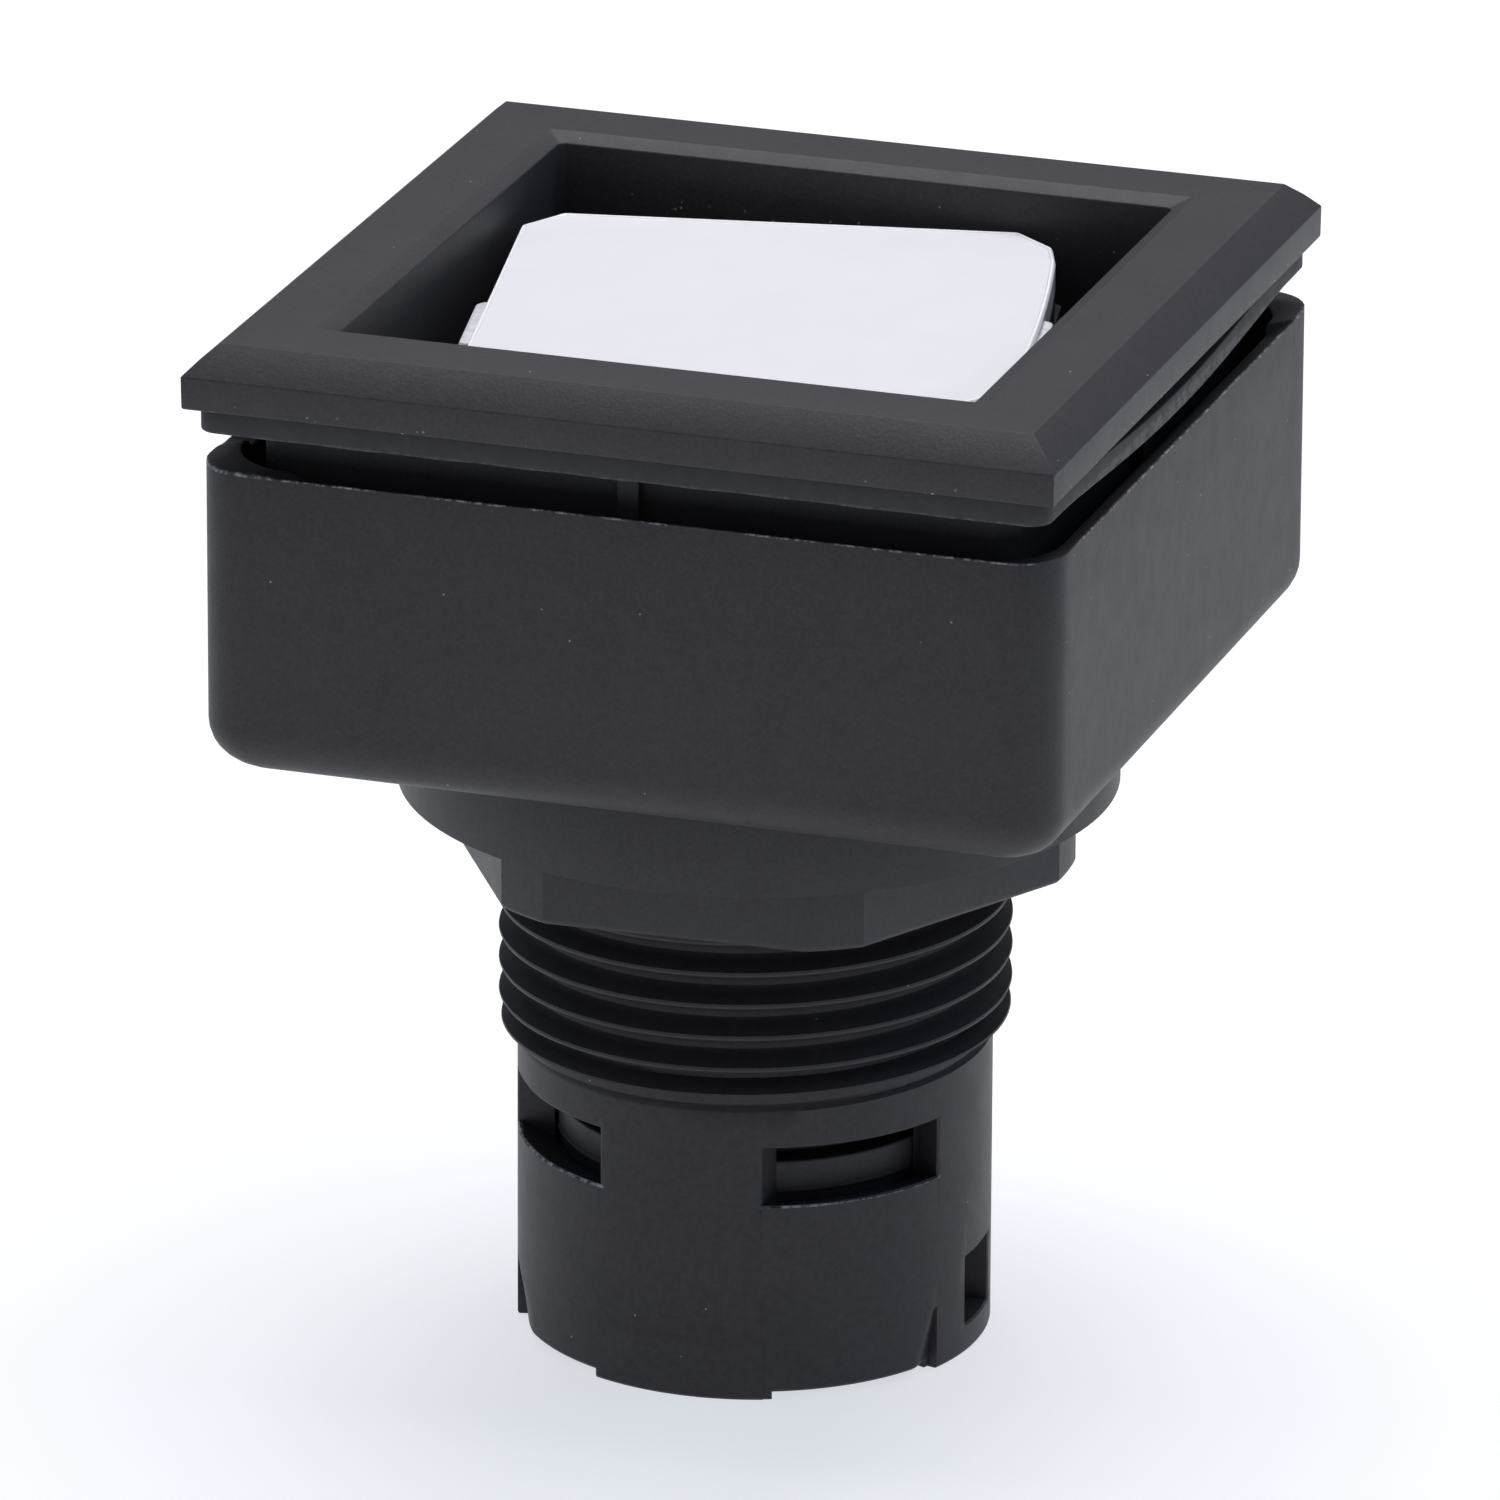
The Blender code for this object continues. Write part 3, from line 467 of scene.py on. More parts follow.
def cup_wear(paint):
    """Thin pale burr along the outer edge of the cup's rim."""
    edge = paint.band(paint.from_square(CUP_HALF, CUP_CORNER, CUP_SHIFT), -0.05, 0.06, soft=0.05)
    height = paint.band(paint.split()[2], CUP_RIM - 0.06, CUP_RIM + 0.2, soft=0.03)
    clumps = paint.remap(paint.noise(3.0), 0.34, 0.5)
    return frayed(paint, paint.product(edge, height, clumps), 0.4, 0.46, 0.62)


def frame_wear(paint):
    """Pale dust caught low on the frame's sides."""
    low = paint.band(paint.split()[2], FRAME_BOTTOM - 0.1, FRAME_BOTTOM + 0.1, soft=0.35)
    dots = paint.specks(spacing=0.32, radius=0.06, share=0.3)
    clumps = paint.remap(paint.noise(2.6), 0.38, 0.52)
    return paint.product(low, dots, clumps)


def barrel_wear(paint):
    """Pale burrs on the lower edges of the bayonet recesses, which are alike in each quarter turn."""
    quarter, half_recess = 90.0, 24.0
    first, last, bottom, _ = RECESSES[0]
    x, y, z = paint.split()
    angle = paint.product(paint.maths("ARCTAN2", y, x), 180.0 / math.pi)
    angle = paint.maths("ADD", angle, 360.0 + quarter / 2 - (first + last) / 2)
    within = paint.maths("MODULO", angle, quarter)
    side = paint.band(within, quarter / 2 - half_recess, quarter / 2 + half_recess, soft=1.0)
    edge = paint.band(z, bottom - 0.1, bottom + 0.01, soft=0.02)
    outer = paint.maths("GREATER_THAN", paint.from_axis(), BARREL_RADIUS - 0.1)
    return frayed(paint, paint.product(side, paint.product(edge, outer)), 0.42, 0.45, 0.6)


def sleeve_groove_shade(paint):
    """1 in the sleeve's groove and below its band, where shade is painted as a darker colour."""
    groove = paint.remap(paint.from_axis(), SLEEVE_RADIUS - 0.08, SLEEVE_RADIUS - 0.15)
    below = paint.remap(paint.split()[2], BAND_BOTTOM, BAND_BOTTOM - 0.04)
    return paint.maths("MAXIMUM", groove, below)


def outer_rim(paint):
    """1 on the outer rim of the pieces under the lens, which stand in the dark of the well."""
    return paint.remap(paint.from_axis(), 9.6, 9.8)


def rubber(name, base, roughness=0.8, dark=None):
    """Dull rubber. dark gives the places that no light reaches."""
    paint = Paint(name)
    paint.set(Specular_IOR_Level=0.25)
    colour = paint.ramp(paint.noise(0.5, detail=4.0), base, scaled(base, 1.5))
    if dark:
        colour = paint.mixed(dark(paint), colour, IN_THE_DARK)
    gloss = paint.spread(paint.noise(0.8, detail=3.0), roughness - 0.08, roughness + 0.06)
    return paint.finish(colour, gloss, paint.noise(0.16, detail=3.0), 0.01)


def gasket_rubber(name):
    """Dark rubber with a little pale dust along its lower edge."""
    paint = Paint(name)
    paint.set(Specular_IOR_Level=0.3)
    colour = paint.ramp(paint.noise(0.5, detail=4.0), (0.032, 0.032, 0.036), (0.04, 0.04, 0.044))
    low = paint.remap(paint.split()[2], GASKET_BOTTOM + 0.16, GASKET_BOTTOM + 0.02)
    dust = paint.product(frayed(paint, low, 0.5, 0.4, 0.7), 0.7)
    colour = paint.mixed(dust, colour, (0.16, 0.16, 0.165))
    gloss = paint.spread(paint.noise(0.8, detail=3.0), 0.62, 0.74)
    return paint.finish(colour, gloss, paint.noise(0.16, detail=3.0), 0.006)


def pale_plastic(name, base, roughness, dark=None):
    """Light moulded plastic. dark gives the places that no light reaches."""
    paint = Paint(name)
    paint.set(Specular_IOR_Level=0.4)
    colour = paint.ramp(paint.noise(2.5, detail=3.0), base, scaled(base, 1.06))
    if dark:
        colour = paint.mixed(dark(paint), colour, IN_THE_DARK)
    gloss = paint.spread(paint.noise(0.9, detail=3.0), roughness - 0.04, roughness + 0.05)
    return paint.finish(colour, gloss, paint.noise(0.2), 0.002)


def steel(name, base, roughness=0.32):
    """Drawn or punched steel with fine marks round the axis."""
    paint = Paint(name)
    paint.set(Metallic=1.0)
    marks = paint.noise(0.4, detail=4.0, stretch=(1.0, 1.0, 9.0))
    colour = paint.ramp(marks, scaled(base, 0.8), base)
    fine = paint.noise(0.25, detail=3.0, stretch=(1.0, 1.0, 8.0))
    gloss = paint.spread(fine, roughness - 0.08, roughness + 0.12)
    return paint.finish(colour, gloss, paint.noise(0.12, stretch=(1.0, 1.0, 10.0)), 0.004)


def clear_plastic(name):
    """Clear plastic of the light guide."""
    paint = Paint(name)
    paint.set(Transmission_Weight=0.92, IOR=1.49)
    paint.join(paint.ramp(paint.noise(2.0), (0.86, 0.9, 0.92), (0.95, 0.97, 0.98)), "Base Color")
    paint.join(paint.spread(paint.noise(1.2), 0.05, 0.12), "Roughness")
    return paint.material


def lens_place(paint):
    """x, y and z along the lens's own sides, as sockets."""
    turn = paint.node("ShaderNodeMapping")
    turn.vector_type = "TEXTURE"
    turn.inputs["Location"].default_value = (*LENS_SHIFT, 0.0)
    turn.inputs["Rotation"].default_value = (0.0, 0.0, LENS_TURN)
    paint.feed(turn.inputs["Vector"], paint.place)
    return paint.split(turn.outputs["Vector"])


def lens_top(paint, x, y):
    """1 on the flat top inside the fine edge, and how far a place lies out towards the nearest side."""
    left = paint.maths("SUBTRACT", LENS_LEFT, x)
    right = paint.maths("ADD", x, LENS_NARROW)
    front = paint.product(y, -1.0)
    bowed = paint.product(paint.product(y, y), LENS_BOW / LENS_HALF**2)
    bowed = paint.maths("SUBTRACT", paint.maths("ADD", right, bowed), LENS_BOW)
    across = paint.maths("MAXIMUM", front, paint.maths("SUBTRACT", y, LENS_BACK))
    widest = paint.maths("MAXIMUM", across, paint.maths("MAXIMUM", left, bowed))
    diagonal = paint.maths("ADD", paint.maths("MAXIMUM", left, right), across)
    straight = paint.maths("LESS_THAN", widest, LENS_HALF - LENS_RIM)
    slanted = paint.maths("LESS_THAN", diagonal, 2 * LENS_HALF - LENS_CUT - 1.45 * LENS_RIM)
    return paint.product(straight, slanted), widest


def lens_plastic(name):
    """White top in a raised edge painted near white as a highlight. The sides and tabs are greyer, and the
    skirt below is painted dark as shade.
    """
    paint = Paint(name)
    paint.set(Specular_IOR_Level=0.35)
    streaks = paint.noise(0.5, detail=3.0, stretch=(1.0, 1.0, 0.15))
    edge = paint.ramp(streaks, (0.36, 0.36, 0.4), (0.62, 0.62, 0.68))
    tabs = paint.ramp(streaks, (0.6, 0.6, 0.65), (0.8, 0.8, 0.85))
    white = paint.ramp(paint.noise(4.0), (0.79, 0.78, 0.82), (0.805, 0.795, 0.835))
    x, y, z = lens_place(paint)
    top, widest = lens_top(paint, x, y)
    # Painted shade: the skirt below the sides is coloured nearly black.
    above_skirt = paint.remap(z, LENS_FACE - LENS_EDGE - 0.1, LENS_FACE - LENS_EDGE)
    colour = paint.mixed(above_skirt, (0.035, 0.035, 0.037), edge)
    colour = paint.mixed(paint.remap(widest, LENS_HALF + 0.05, LENS_HALF + 0.1), colour, tabs)
    # Painted highlight: the raised edge and the top of the sides are coloured near white.
    colour = paint.mixed(paint.remap(z, LENS_FACE - 0.26, LENS_FACE - 0.14), colour, (0.95, 0.95, 0.96))
    colour = paint.mixed(top, colour, white)
    gloss = paint.spread(paint.noise(1.5, detail=3.0), 0.3, 0.38)
    return paint.finish(colour, gloss, paint.noise(0.3), 0.0015)


BLUE_BLACK = (0.0312, 0.0302, 0.0355)
CUP_BLACK = (0.0282, 0.0272, 0.0318)
HOUSING_BLACK = (0.032, 0.032, 0.034)
BARREL_BLACK = (0.0275, 0.0265, 0.0312)
NUT_BLACK = (0.026, 0.0255, 0.0308)
SLEEVE_BLACK = (0.031, 0.03, 0.034)


def make_paints():
    """The material of every slot."""
    paints = {}

    def add(make, slot, *values, **options):
        paints[slot] = make(slot, *values, **options)

    add(black_plastic, "frame_plastic", BLUE_BLACK, 0.5, depth=0.012, worn=frame_wear)
    add(black_plastic, "cup_plastic", CUP_BLACK, 0.5, depth=0.014, specular=0.26, dust=0.3, worn=cup_wear)
    add(black_plastic, "housing_plastic", HOUSING_BLACK, 0.55, dust=0.05)
    add(black_plastic, "barrel_plastic", BARREL_BLACK, 0.48, 0.2, 0.003, 0.24, worn=barrel_wear)
    add(black_plastic, "nut_plastic", NUT_BLACK, 0.5, depth=0.004)
    # The sleeve's groove and the place below its band are painted darker as shade.
    add(black_plastic, "sleeve_plastic", SLEEVE_BLACK, 0.5, dust=0.0, inside=sleeve_groove_shade)
    add(gasket_rubber, "gasket_rubber")
    add(rubber, "seal_rubber", (0.02, 0.02, 0.021))
    add(rubber, "lens_seal_rubber", (0.55, 0.55, 0.56), 0.6, outer_rim)
    add(steel, "washer_steel", (0.5, 0.5, 0.51))
    add(steel, "ring_steel", (0.52, 0.52, 0.54), 0.28)
    add(steel, "spring_steel", (0.6, 0.6, 0.62), 0.22)
    add(pale_plastic, "plunger_plastic", (0.52, 0.52, 0.5), 0.45)
    add(pale_plastic, "carrier_plastic", (0.6, 0.6, 0.59), 0.42, outer_rim)
    add(pale_plastic, "diffuser_plastic", (0.76, 0.76, 0.77), 0.5)
    add(pale_plastic, "legend_plastic", (0.8, 0.8, 0.82), 0.4)
    add(lens_plastic, "lens_plastic")
    add(clear_plastic, "clear_plastic")
    return paints


PAINTS = make_paints()


def dress_nodes():
    """Gives every node of the frame its slot's material."""
    for entry in frame["record"]["subparts"]:
        obj = NODES[entry["node"]]
        obj.data.materials.clear()
        obj.data.materials.append(PAINTS[entry["material_slot"]])


# Pieces.


def make_bezel():
    """Frame with softened edges, a chamfer outside, a bevel round the opening and a plug below."""
    corners = [
        (18.95, FRAME_BOTTOM, 0.12),
        (18.97, TOP - 1.24, 0.12),
        (18.36, TOP - 0.6, 0),
        (17.67, TOP, 0.05),
        (14.6, TOP, 0.07),
        (OPENING_HALF, TOP - 0.35, 0.1),
        (OPENING_HALF, PLUG_BOTTOM, 0.15),
        (PLUG_HALF, PLUG_BOTTOM, 0.2),
        (PLUG_HALF, FRAME_BOTTOM, 0.0),
    ]
    rows = []
    for half, z in filleted(corners):
        corner = 0.03 if half > PLUG_HALF + 0.65 else 0.3
        rows.append([(x, y, z) for x, y in square_row(half, corner, 5, (-9.0, 0.0, 9.0))])
    piece("bezel", ring_skin(rows), "housing", "front_frame", "frame_plastic")


def gasket_sag(x, y):
    """How far the sheet hangs below its place: a long bow on the +X side, faint waves elsewhere."""
    along = max(-1.0, min(1.0, (y + 0.3) / 16.0))
    bow = GASKET_BOW * math.cos(along * math.pi / 2) ** 1.2
    side = smooth(16.0, 18.4, x)
    wave = 0.035 * math.sin(0.55 * x + 1.0) * math.cos(0.41 * y) + 0.02 * math.sin(1.7 * x + 0.9 * y)
    return bow * side + wave * (1 - side)


def make_gasket():
    """Thin square ring with rounded corners. Where it sags, its underside sags less and it spreads out."""
    corners = [
        (GASKET_HALF, GASKET_BOTTOM, 0.1),
        (GASKET_HALF, GASKET_TOP, 0.07),
        (GASKET_INNER, GASKET_TOP, 0.1),
        (GASKET_INNER, GASKET_BOTTOM, 0.1),
    ]
    cuts = [place * 0.75 for place in range(-20, 21)]
    rows = []
    for width, z in filleted(corners, steps=3):
        corner = 0.9 - (GASKET_HALF - width) * 0.4
        share = 1.0 if z > (GASKET_TOP + GASKET_BOTTOM) / 2 else 0.85
        row = []
        for x, y in square_row(width, corner, 8, cuts):
            sag = gasket_sag(x, y)
            outward = 0.2 * max(0.0, sag - 0.05) if x > 17.0 else 0.0
            row.append((x + outward, y, z - sag * share))
        rows.append(row)
    piece("gasket_sheet", ring_skin(rows), "housing", "front_gasket", "gasket_rubber")


def pad_share(x, y):
    """1 on the raised pads at the corners of the cup's rim, 0 along its sides.

    The +X side's steps are sharper, and the corner at +X and -Y has no pad.
    """
    if x > 0 > y and min(x, -y) > 14.0:
        return 0.0
    if max(abs(x), abs(y)) < CUP_HALF - 0.02:
        return 1.0
    start, end = (15.35, 15.43) if x > abs(y) else (15.0, 15.9)
    return smooth(start, end, min(abs(x), abs(y)))


def cup_sections():
    """(half width, corner, height, lift) up the outside, over the rim and down. The rim's lift is 1."""
    sections = []
    for angle in quarter_steps(8):
        inset = CUP_FILLET * (1 - math.sin(angle))
        height = CUP_BOTTOM + CUP_FILLET * (1 - math.cos(angle))
        sections.append((CUP_HALF - inset, CUP_CORNER - 0.55 * inset, height, 0.0))
    low = CUP_RIM - 3.0
    rim = [(CUP_HALF, low, 0), (CUP_HALF, CUP_RIM, 0.05), (CUP_INNER, CUP_RIM, 0.1), (CUP_INNER, low, 0)]
    for width, z in filleted(rim, closed=False):
        corner = CUP_CORNER if width > 18.35 else CUP_INNER_CORNER
        sections.append((width, corner, z, 1.0 if z > CUP_RIM - 0.5 else 0.0))
    for angle in quarter_steps(4):
        width = CUP_INNER - CUP_FLOOR * (1 - math.cos(angle))
        height = CUP_BOTTOM + 2 * CUP_FLOOR - CUP_FLOOR * math.sin(angle)
        sections.append((width, CUP_INNER_CORNER, height, 0.0))
    return sections


def make_cup():
    """Square cup, rounded below, with slightly raised pads at its rim's corners."""
    cuts = [-15.9, -15.6, -15.43, -15.35, -15.2, -15.0, -14.2, -13.0, -11.5, -8.0, -4.0, 0.0]
    cuts += [-place for place in cuts[:-1]]
    pads = [pad_share(x, y) for x, y in square_row(CUP_HALF, CUP_CORNER, 8, cuts)]
    rows = []
    for width, corner, z, lift in cup_sections():
        fit = min(1.0, (width - corner - 0.05) / 15.9)
        fall = RIM_FALL * smooth(CUP_HALF - 0.1, CUP_INNER, width)
        row = []
        for (x, y), pad in zip(square_row(width, corner, 8, [cut * fit for cut in cuts]), pads):
            row.append((x + CUP_SHIFT, y, z + lift * (PAD_RISE * pad - fall * (1 - pad))))
        rows.append(row)
    bm = bmesh.new()
    add_skin(bm, rows)
    add_floor(bm, rows[0], CUP_BOTTOM)
    add_floor(bm, rows[-1], CUP_BOTTOM + CUP_FLOOR)
    hole = [(CUP_HOLE, CUP_BOTTOM), (CUP_HOLE, CUP_BOTTOM + CUP_FLOOR)]
    add_skin(bm, turned_rows(hole, len(rows[0]), CUP_SHIFT))
    piece("cup_shell", bm, "cup", "clamp_cup", "cup_plastic")


def add_floor(bm, outer, z):
    """Flat floor of the cup between a square row and the round hole in its middle."""
    count = len(outer)
    outer_verts = [bm.verts.new(point) for point in outer]
    hole = turned_rows([(CUP_HOLE, z)], count, CUP_SHIFT)[0]
    hole_verts = [bm.verts.new(point) for point in hole]

    def angle_of(index):
        x, y, _ = outer[index]
        return math.atan2(y, x - CUP_SHIFT) % (2 * math.pi)

    ring = [outer_verts[index] for index in sorted(range(count), key=angle_of)]
    for i in range(count):
        j = (i + 1) % count
        bm.faces.new((ring[i], ring[j], hole_verts[j], hole_verts[i]))


def hexagon_row(shrink, z):
    """Points round the nut's hexagon, made smaller by shrink."""
    half_flat = math.degrees(math.acos(NUT_APOTHEM / NUT_CORNER))
    offsets = [half_flat * (k / 6) for k in range(-6, 7)]
    offsets += [half_flat + (60.0 - 2 * half_flat) * (k / 5) for k in range(1, 5)]
    row = []
    for side in range(6):
        for offset in offsets:
            r = NUT_CORNER - shrink
            if offset <= half_flat:
                r = (NUT_APOTHEM - shrink) / math.cos(math.radians(offset))
            angle = math.radians(NUT_TURN + 60.0 * side + offset)
            row.append((r * math.cos(angle), r * math.sin(angle), z))
    return row


def make_nut():
    """Round flange over a hexagon with rounded corners."""
    whole = hexagon_row(0.0, NUT_BOTTOM)
    spokes = [math.atan2(y, x) for x, y, _ in whole]
    rows = [[(NUT_BORE * math.cos(angle), NUT_BORE * math.sin(angle), NUT_BOTTOM) for angle in spokes]]
    edge = [(2.0, NUT_BOTTOM, 0), (0.0, NUT_BOTTOM, 0.3), (0.0, FLANGE_BOTTOM - 0.1, 0)]
    rows += [hexagon_row(max(shrink, 0.0), z) for shrink, z in filleted(edge, closed=False)]
    rows.append(hexagon_row(0.0, FLANGE_BOTTOM + 0.05))
    flange = [
        (NUT_BORE, FLANGE_BOTTOM, 0),
        (FLANGE_RADIUS, FLANGE_BOTTOM, 0.02),
        (FLANGE_RADIUS, FLANGE_TOP, 0.2),
        (SEAT_RADIUS, FLANGE_TOP, 0.08),
        (SEAT_RADIUS, FLANGE_TOP - SEAT_DEPTH, 0),
        (NUT_BORE, FLANGE_TOP - SEAT_DEPTH, 0),
        (NUT_BORE, FLANGE_BOTTOM, 0),
    ]
    bm = bmesh.new()
    add_skin(bm, rows)
    add_skin(bm, turned_rows(filleted(flange, closed=False), 144))
    add_skin(bm, turned_rows([(NUT_BORE, NUT_BOTTOM), (NUT_BORE, FLANGE_BOTTOM)], len(whole)))
    piece("nut_body", bm, "nut", "lock_nut", "nut_plastic", 24.0)


def nearest(angle, low, high):
    """The angle moved by whole turns to lie nearest the middle of the span."""
    middle = (low + high) / 2
    return angle - 360.0 * round((angle - middle) / 360.0)


def outside_distance(angle, z):
    """Distance on the barrel's surface from the nearest hole or the rear edge."""
    best = z
    scale = math.radians(BARREL_RADIUS)
    for low, high, bottom, top in HOLES:
        here = nearest(angle, low, high)
        aside = max(low - here, here - high, 0.0) * scale
        above = max(bottom - z, z - top, 0.0)
        best = min(best, math.hypot(aside, above))
    return best


def taper_depth(angle, z):
    """Depth of the short and long wedges beside each window. line is the angle at which one runs out."""
    for middle in WINDOW_MIDDLES:
        here = nearest(angle, middle, middle) - middle
        low = 1 - z / WEDGE_TOP
        if low > 0 and SHORT_WEDGE[0] < here < SHORT_WEDGE[1]:
            line = 22.7 + 7.0 * low
            return SHORT_DEPTH * min(1.0, max(0.0, (line + here) / 5.5))
        if low > 0 and LONG_WEDGE[0] < here < LONG_WEDGE[1]:
            line = 21.7 + 18.3 * (1 - (1 - low) ** 3.5)
            return LONG_DEPTH * low * max(0.0, (line - here) / (line - LONG_WEDGE[0]))
    return 0.0


def foot_rise(angle, z):
    """How far a foot stands out from the barrel."""
    for low, high in FOOT_LINES:
        if low - 0.01 < nearest(angle, low, high) < high + 0.01:
            return FOOT_RISE * (1 - smooth(FOOT_LINE_TOP, FOOT_LINE_TOP + 0.4, z))
    return 0.0


def bore_place(angle, z):
    """Angle, height and radius of the bore's point behind an outer one, moved where a recess is drafted."""
    low, high, bottom, top = RECESSES[0]
    height = z - RECESS_FALL * (1.0 if bottom - 0.2 < z < bottom + 0.01 else 0.0)
    along = (angle - low + 0.01) % 90.0 - 0.01
    if bottom - 0.01 < z < top + 0.01 and along < high - low + 0.01:
        share = along / (high - low)
        angle += RECESS_LEANS[0] * (1 - share) - RECESS_LEANS[1] * share
        return angle, height, RECESS_INNER
    return angle, height, BARREL_BORE


def open_at(angle, z):
    """True inside a hole."""
    for low, high, bottom, top in HOLES:
        if low < nearest(angle, low, high) < high and bottom < z < top:
            return True
    return False


def barrel_columns():
    """Angles of the columns of points, from SEAM: at every edge, across the wedges, and every 2 degrees."""
    marks = set()
    step = EDGE_SOFT / math.radians(BARREL_RADIUS)
    for low, high, _, _ in HOLES:
        marks |= {low - step, low, high, high + step}
    for middle in WINDOW_MIDDLES:
        for side in (-1, 1):
            marks |= {middle + side * value for value in (21.35, 21.65, 24.2, 25.5, 26.8, 28.2, 29.6)}
        marks |= {middle + value for value in (31.2, 32.8, 34.4, 36.0, 37.6, 39.0, 40.2)}
    for low, high in FOOT_LINES:
        marks |= {low - 0.3, low, high, high + 0.3}
    fixed = sorted({round((mark - SEAM) % 360.0, 3) for mark in marks})
    columns = list(fixed)
    for index in range(180):
        angle = 2.0 * index
        if all(min(abs(angle - mark), 360 - abs(angle - mark)) > 0.75 for mark in fixed):
            columns.append(angle)
    return sorted(columns)


def barrel_stations():
    """Heights of the rows of points up the perforated wall."""
    notch_top = NOTCHES[0][3]
    marks = {0.0, EDGE_SOFT, notch_top, notch_top + EDGE_SOFT}
    marks |= {0.9, 1.2, 1.6, 2.0, 2.2, 2.35, FOOT_LINE_TOP, 2.75, WEDGE_TOP, 6.5, 10.1, WALL_TOP}
    for _, _, bottom, top in RECESSES[:1] + WINDOWS[:1]:
        marks |= {bottom - EDGE_SOFT, bottom, top, top + EDGE_SOFT}
    return sorted(marks)


class BarrelSkin:
    """The barrel's skin in the making: a mesh whose columns of points run up the wall."""

    def __init__(self):
        self.bm = bmesh.new()
        self.columns = barrel_columns()
        self.stations = barrel_stations()
        self.count = len(self.columns)

    def vert(self, r, angle, z):
        """A new point at that radius, angle and height."""
        spoke = math.radians(angle)
        return self.bm.verts.new((r * math.cos(spoke), r * math.sin(spoke), z))

    def at(self, r, column, z):
        """A new point in a column."""
        return self.vert(r, self.columns[column] + SEAM, z)

    def ring(self, r, z):
        """A new point in every column."""
        return [self.at(r, column, z) for column in range(self.count)]

    def face(self, *verts):
        self.bm.faces.new(verts)

    def is_open(self, row, column):
        """True where the field over that row and column lies in a hole or below the rear edge."""
        if row < 0:
            return True
        low = self.columns[column % self.count]
        high = self.columns[(column + 1) % self.count]
        if column % self.count == self.count - 1:
            high += 360.0
        return open_at((low + high) / 2 + SEAM, (self.stations[row] + self.stations[row + 1]) / 2)


def wall_points(skin):
    """Outer and inner rows of points of the perforated wall. Edges of holes are softened."""
    outer, inner = [], []
    for z in skin.stations:
        outer.append([])
        inner.append([])
        for column in range(skin.count):
            angle = skin.columns[column] + SEAM
            soft = 0.07 * max(0.0, 1 - outside_distance(angle, z) / EDGE_SOFT)
            reach = BARREL_RADIUS + foot_rise(angle, z) - soft - taper_depth(angle, z)
            outer[-1].append(skin.at(reach, column, z))
            turned, height, bore = bore_place(angle, z)
            inner[-1].append(skin.vert(bore, turned, height))
    return outer, inner


def add_wall(skin):
    """Perforated rear tube. Gives its highest outer and inner rings of points."""
    outer, inner = wall_points(skin)
    fields = len(skin.stations) - 1
    for row in range(fields):
        for column in range(skin.count):
            if skin.is_open(row, column):
                continue
            after = (column + 1) % skin.count
            corners = ((row, column), (row, after), (row + 1, after), (row + 1, column))
            a, b, c, d = [outer[i][j] for i, j in corners]
            e, f, g, h = [inner[i][j] for i, j in corners]
            skin.face(a, b, c, d)
            skin.face(e, h, g, f)
            if skin.is_open(row, column - 1):
                skin.face(a, d, h, e)
            if skin.is_open(row, column + 1):
                skin.face(b, f, g, c)
            if skin.is_open(row - 1, column):
                skin.face(a, e, f, b)
            if row + 1 < fields and skin.is_open(row + 1, column):
                skin.face(d, c, g, h)
    return outer[-1], inner[-1]


def smooth_ends(t):
    """Nearly straight from 0 to 1, rounded at both ends."""
    return 0.72 * t + 0.28 * smooth(0.0, 1.0, t)


def thread_radius(phase, last):
    """Radius over one turn of the profile, whose crest is at phase 0. The last turn is steep below."""
    above = ((phase + 0.5) % 1.0 - 0.5) * PITCH
    away = abs(above)
    crest, root = (0.03, 0.3) if last and above < 0 else (0.1, 0.55)
    if away <= crest:
        return THREAD_RADIUS - CREST_ROUND * (away / crest) ** 4
    if away >= root:
        return BARREL_RADIUS if last and above < 0 else THREAD_ROOT
    t = (away - crest) / (root - crest)
    return THREAD_RADIUS - CREST_ROUND - (THREAD_RADIUS - CREST_ROUND - THREAD_ROOT) * smooth_ends(t)


def thread_grid(skin):
    """Rows of points of the helix, each a step up from the last. The thread fades in below and out above."""
    seam_share = (CREST_ANGLE - SEAM) % 360.0 / 360.0
    start = CREST_HEIGHT - PITCH * (seam_share + 2.0) + PITCH * 0.42
    grid = []
    for j in range(THREAD_STEPS * (THREAD_TURNS + 1) + 1):
        row = []
        for i in range(skin.count):
            share = skin.columns[i] / 360.0
            turn = j / THREAD_STEPS + share
            z = start + PITCH * turn
            lift = 0.2 * (1 - smooth(1.5, 1.9, turn))
            phase = (z - lift - CREST_HEIGHT) / PITCH - (share - seam_share)
            radius = thread_radius(phase, j < THREAD_STEPS) if j else BARREL_RADIUS
            fade = smooth(0.45, 0.85, turn) * (0.87 + 0.13 * smooth(1.0, 1.9, turn))
            fade *= 1 - smooth(THREAD_TURNS + 0.4, THREAD_TURNS + 0.9, turn)
            row.append(skin.at(BARREL_RADIUS + (radius - BARREL_RADIUS) * fade, i, z))
        grid.append(row)
    return grid


def add_thread(skin, ring):
    """Helical thread over the wall's highest ring. Gives its rows of points."""
    grid = thread_grid(skin)
    last = skin.count - 1

    def node(i, j):
        return grid[j][i] if i < skin.count else grid[j + THREAD_STEPS][0]

    for j in range(THREAD_STEPS * THREAD_TURNS):
        for i in range(skin.count):
            skin.face(node(i, j), node(i + 1, j), node(i + 1, j + 1), node(i, j + 1))
    for i in range(last):
        skin.face(ring[i], ring[i + 1], grid[0][i + 1], grid[0][i])
    skin.face(ring[last], ring[0], *[row[0] for row in grid[: THREAD_STEPS + 1]], grid[0][last])
    return grid


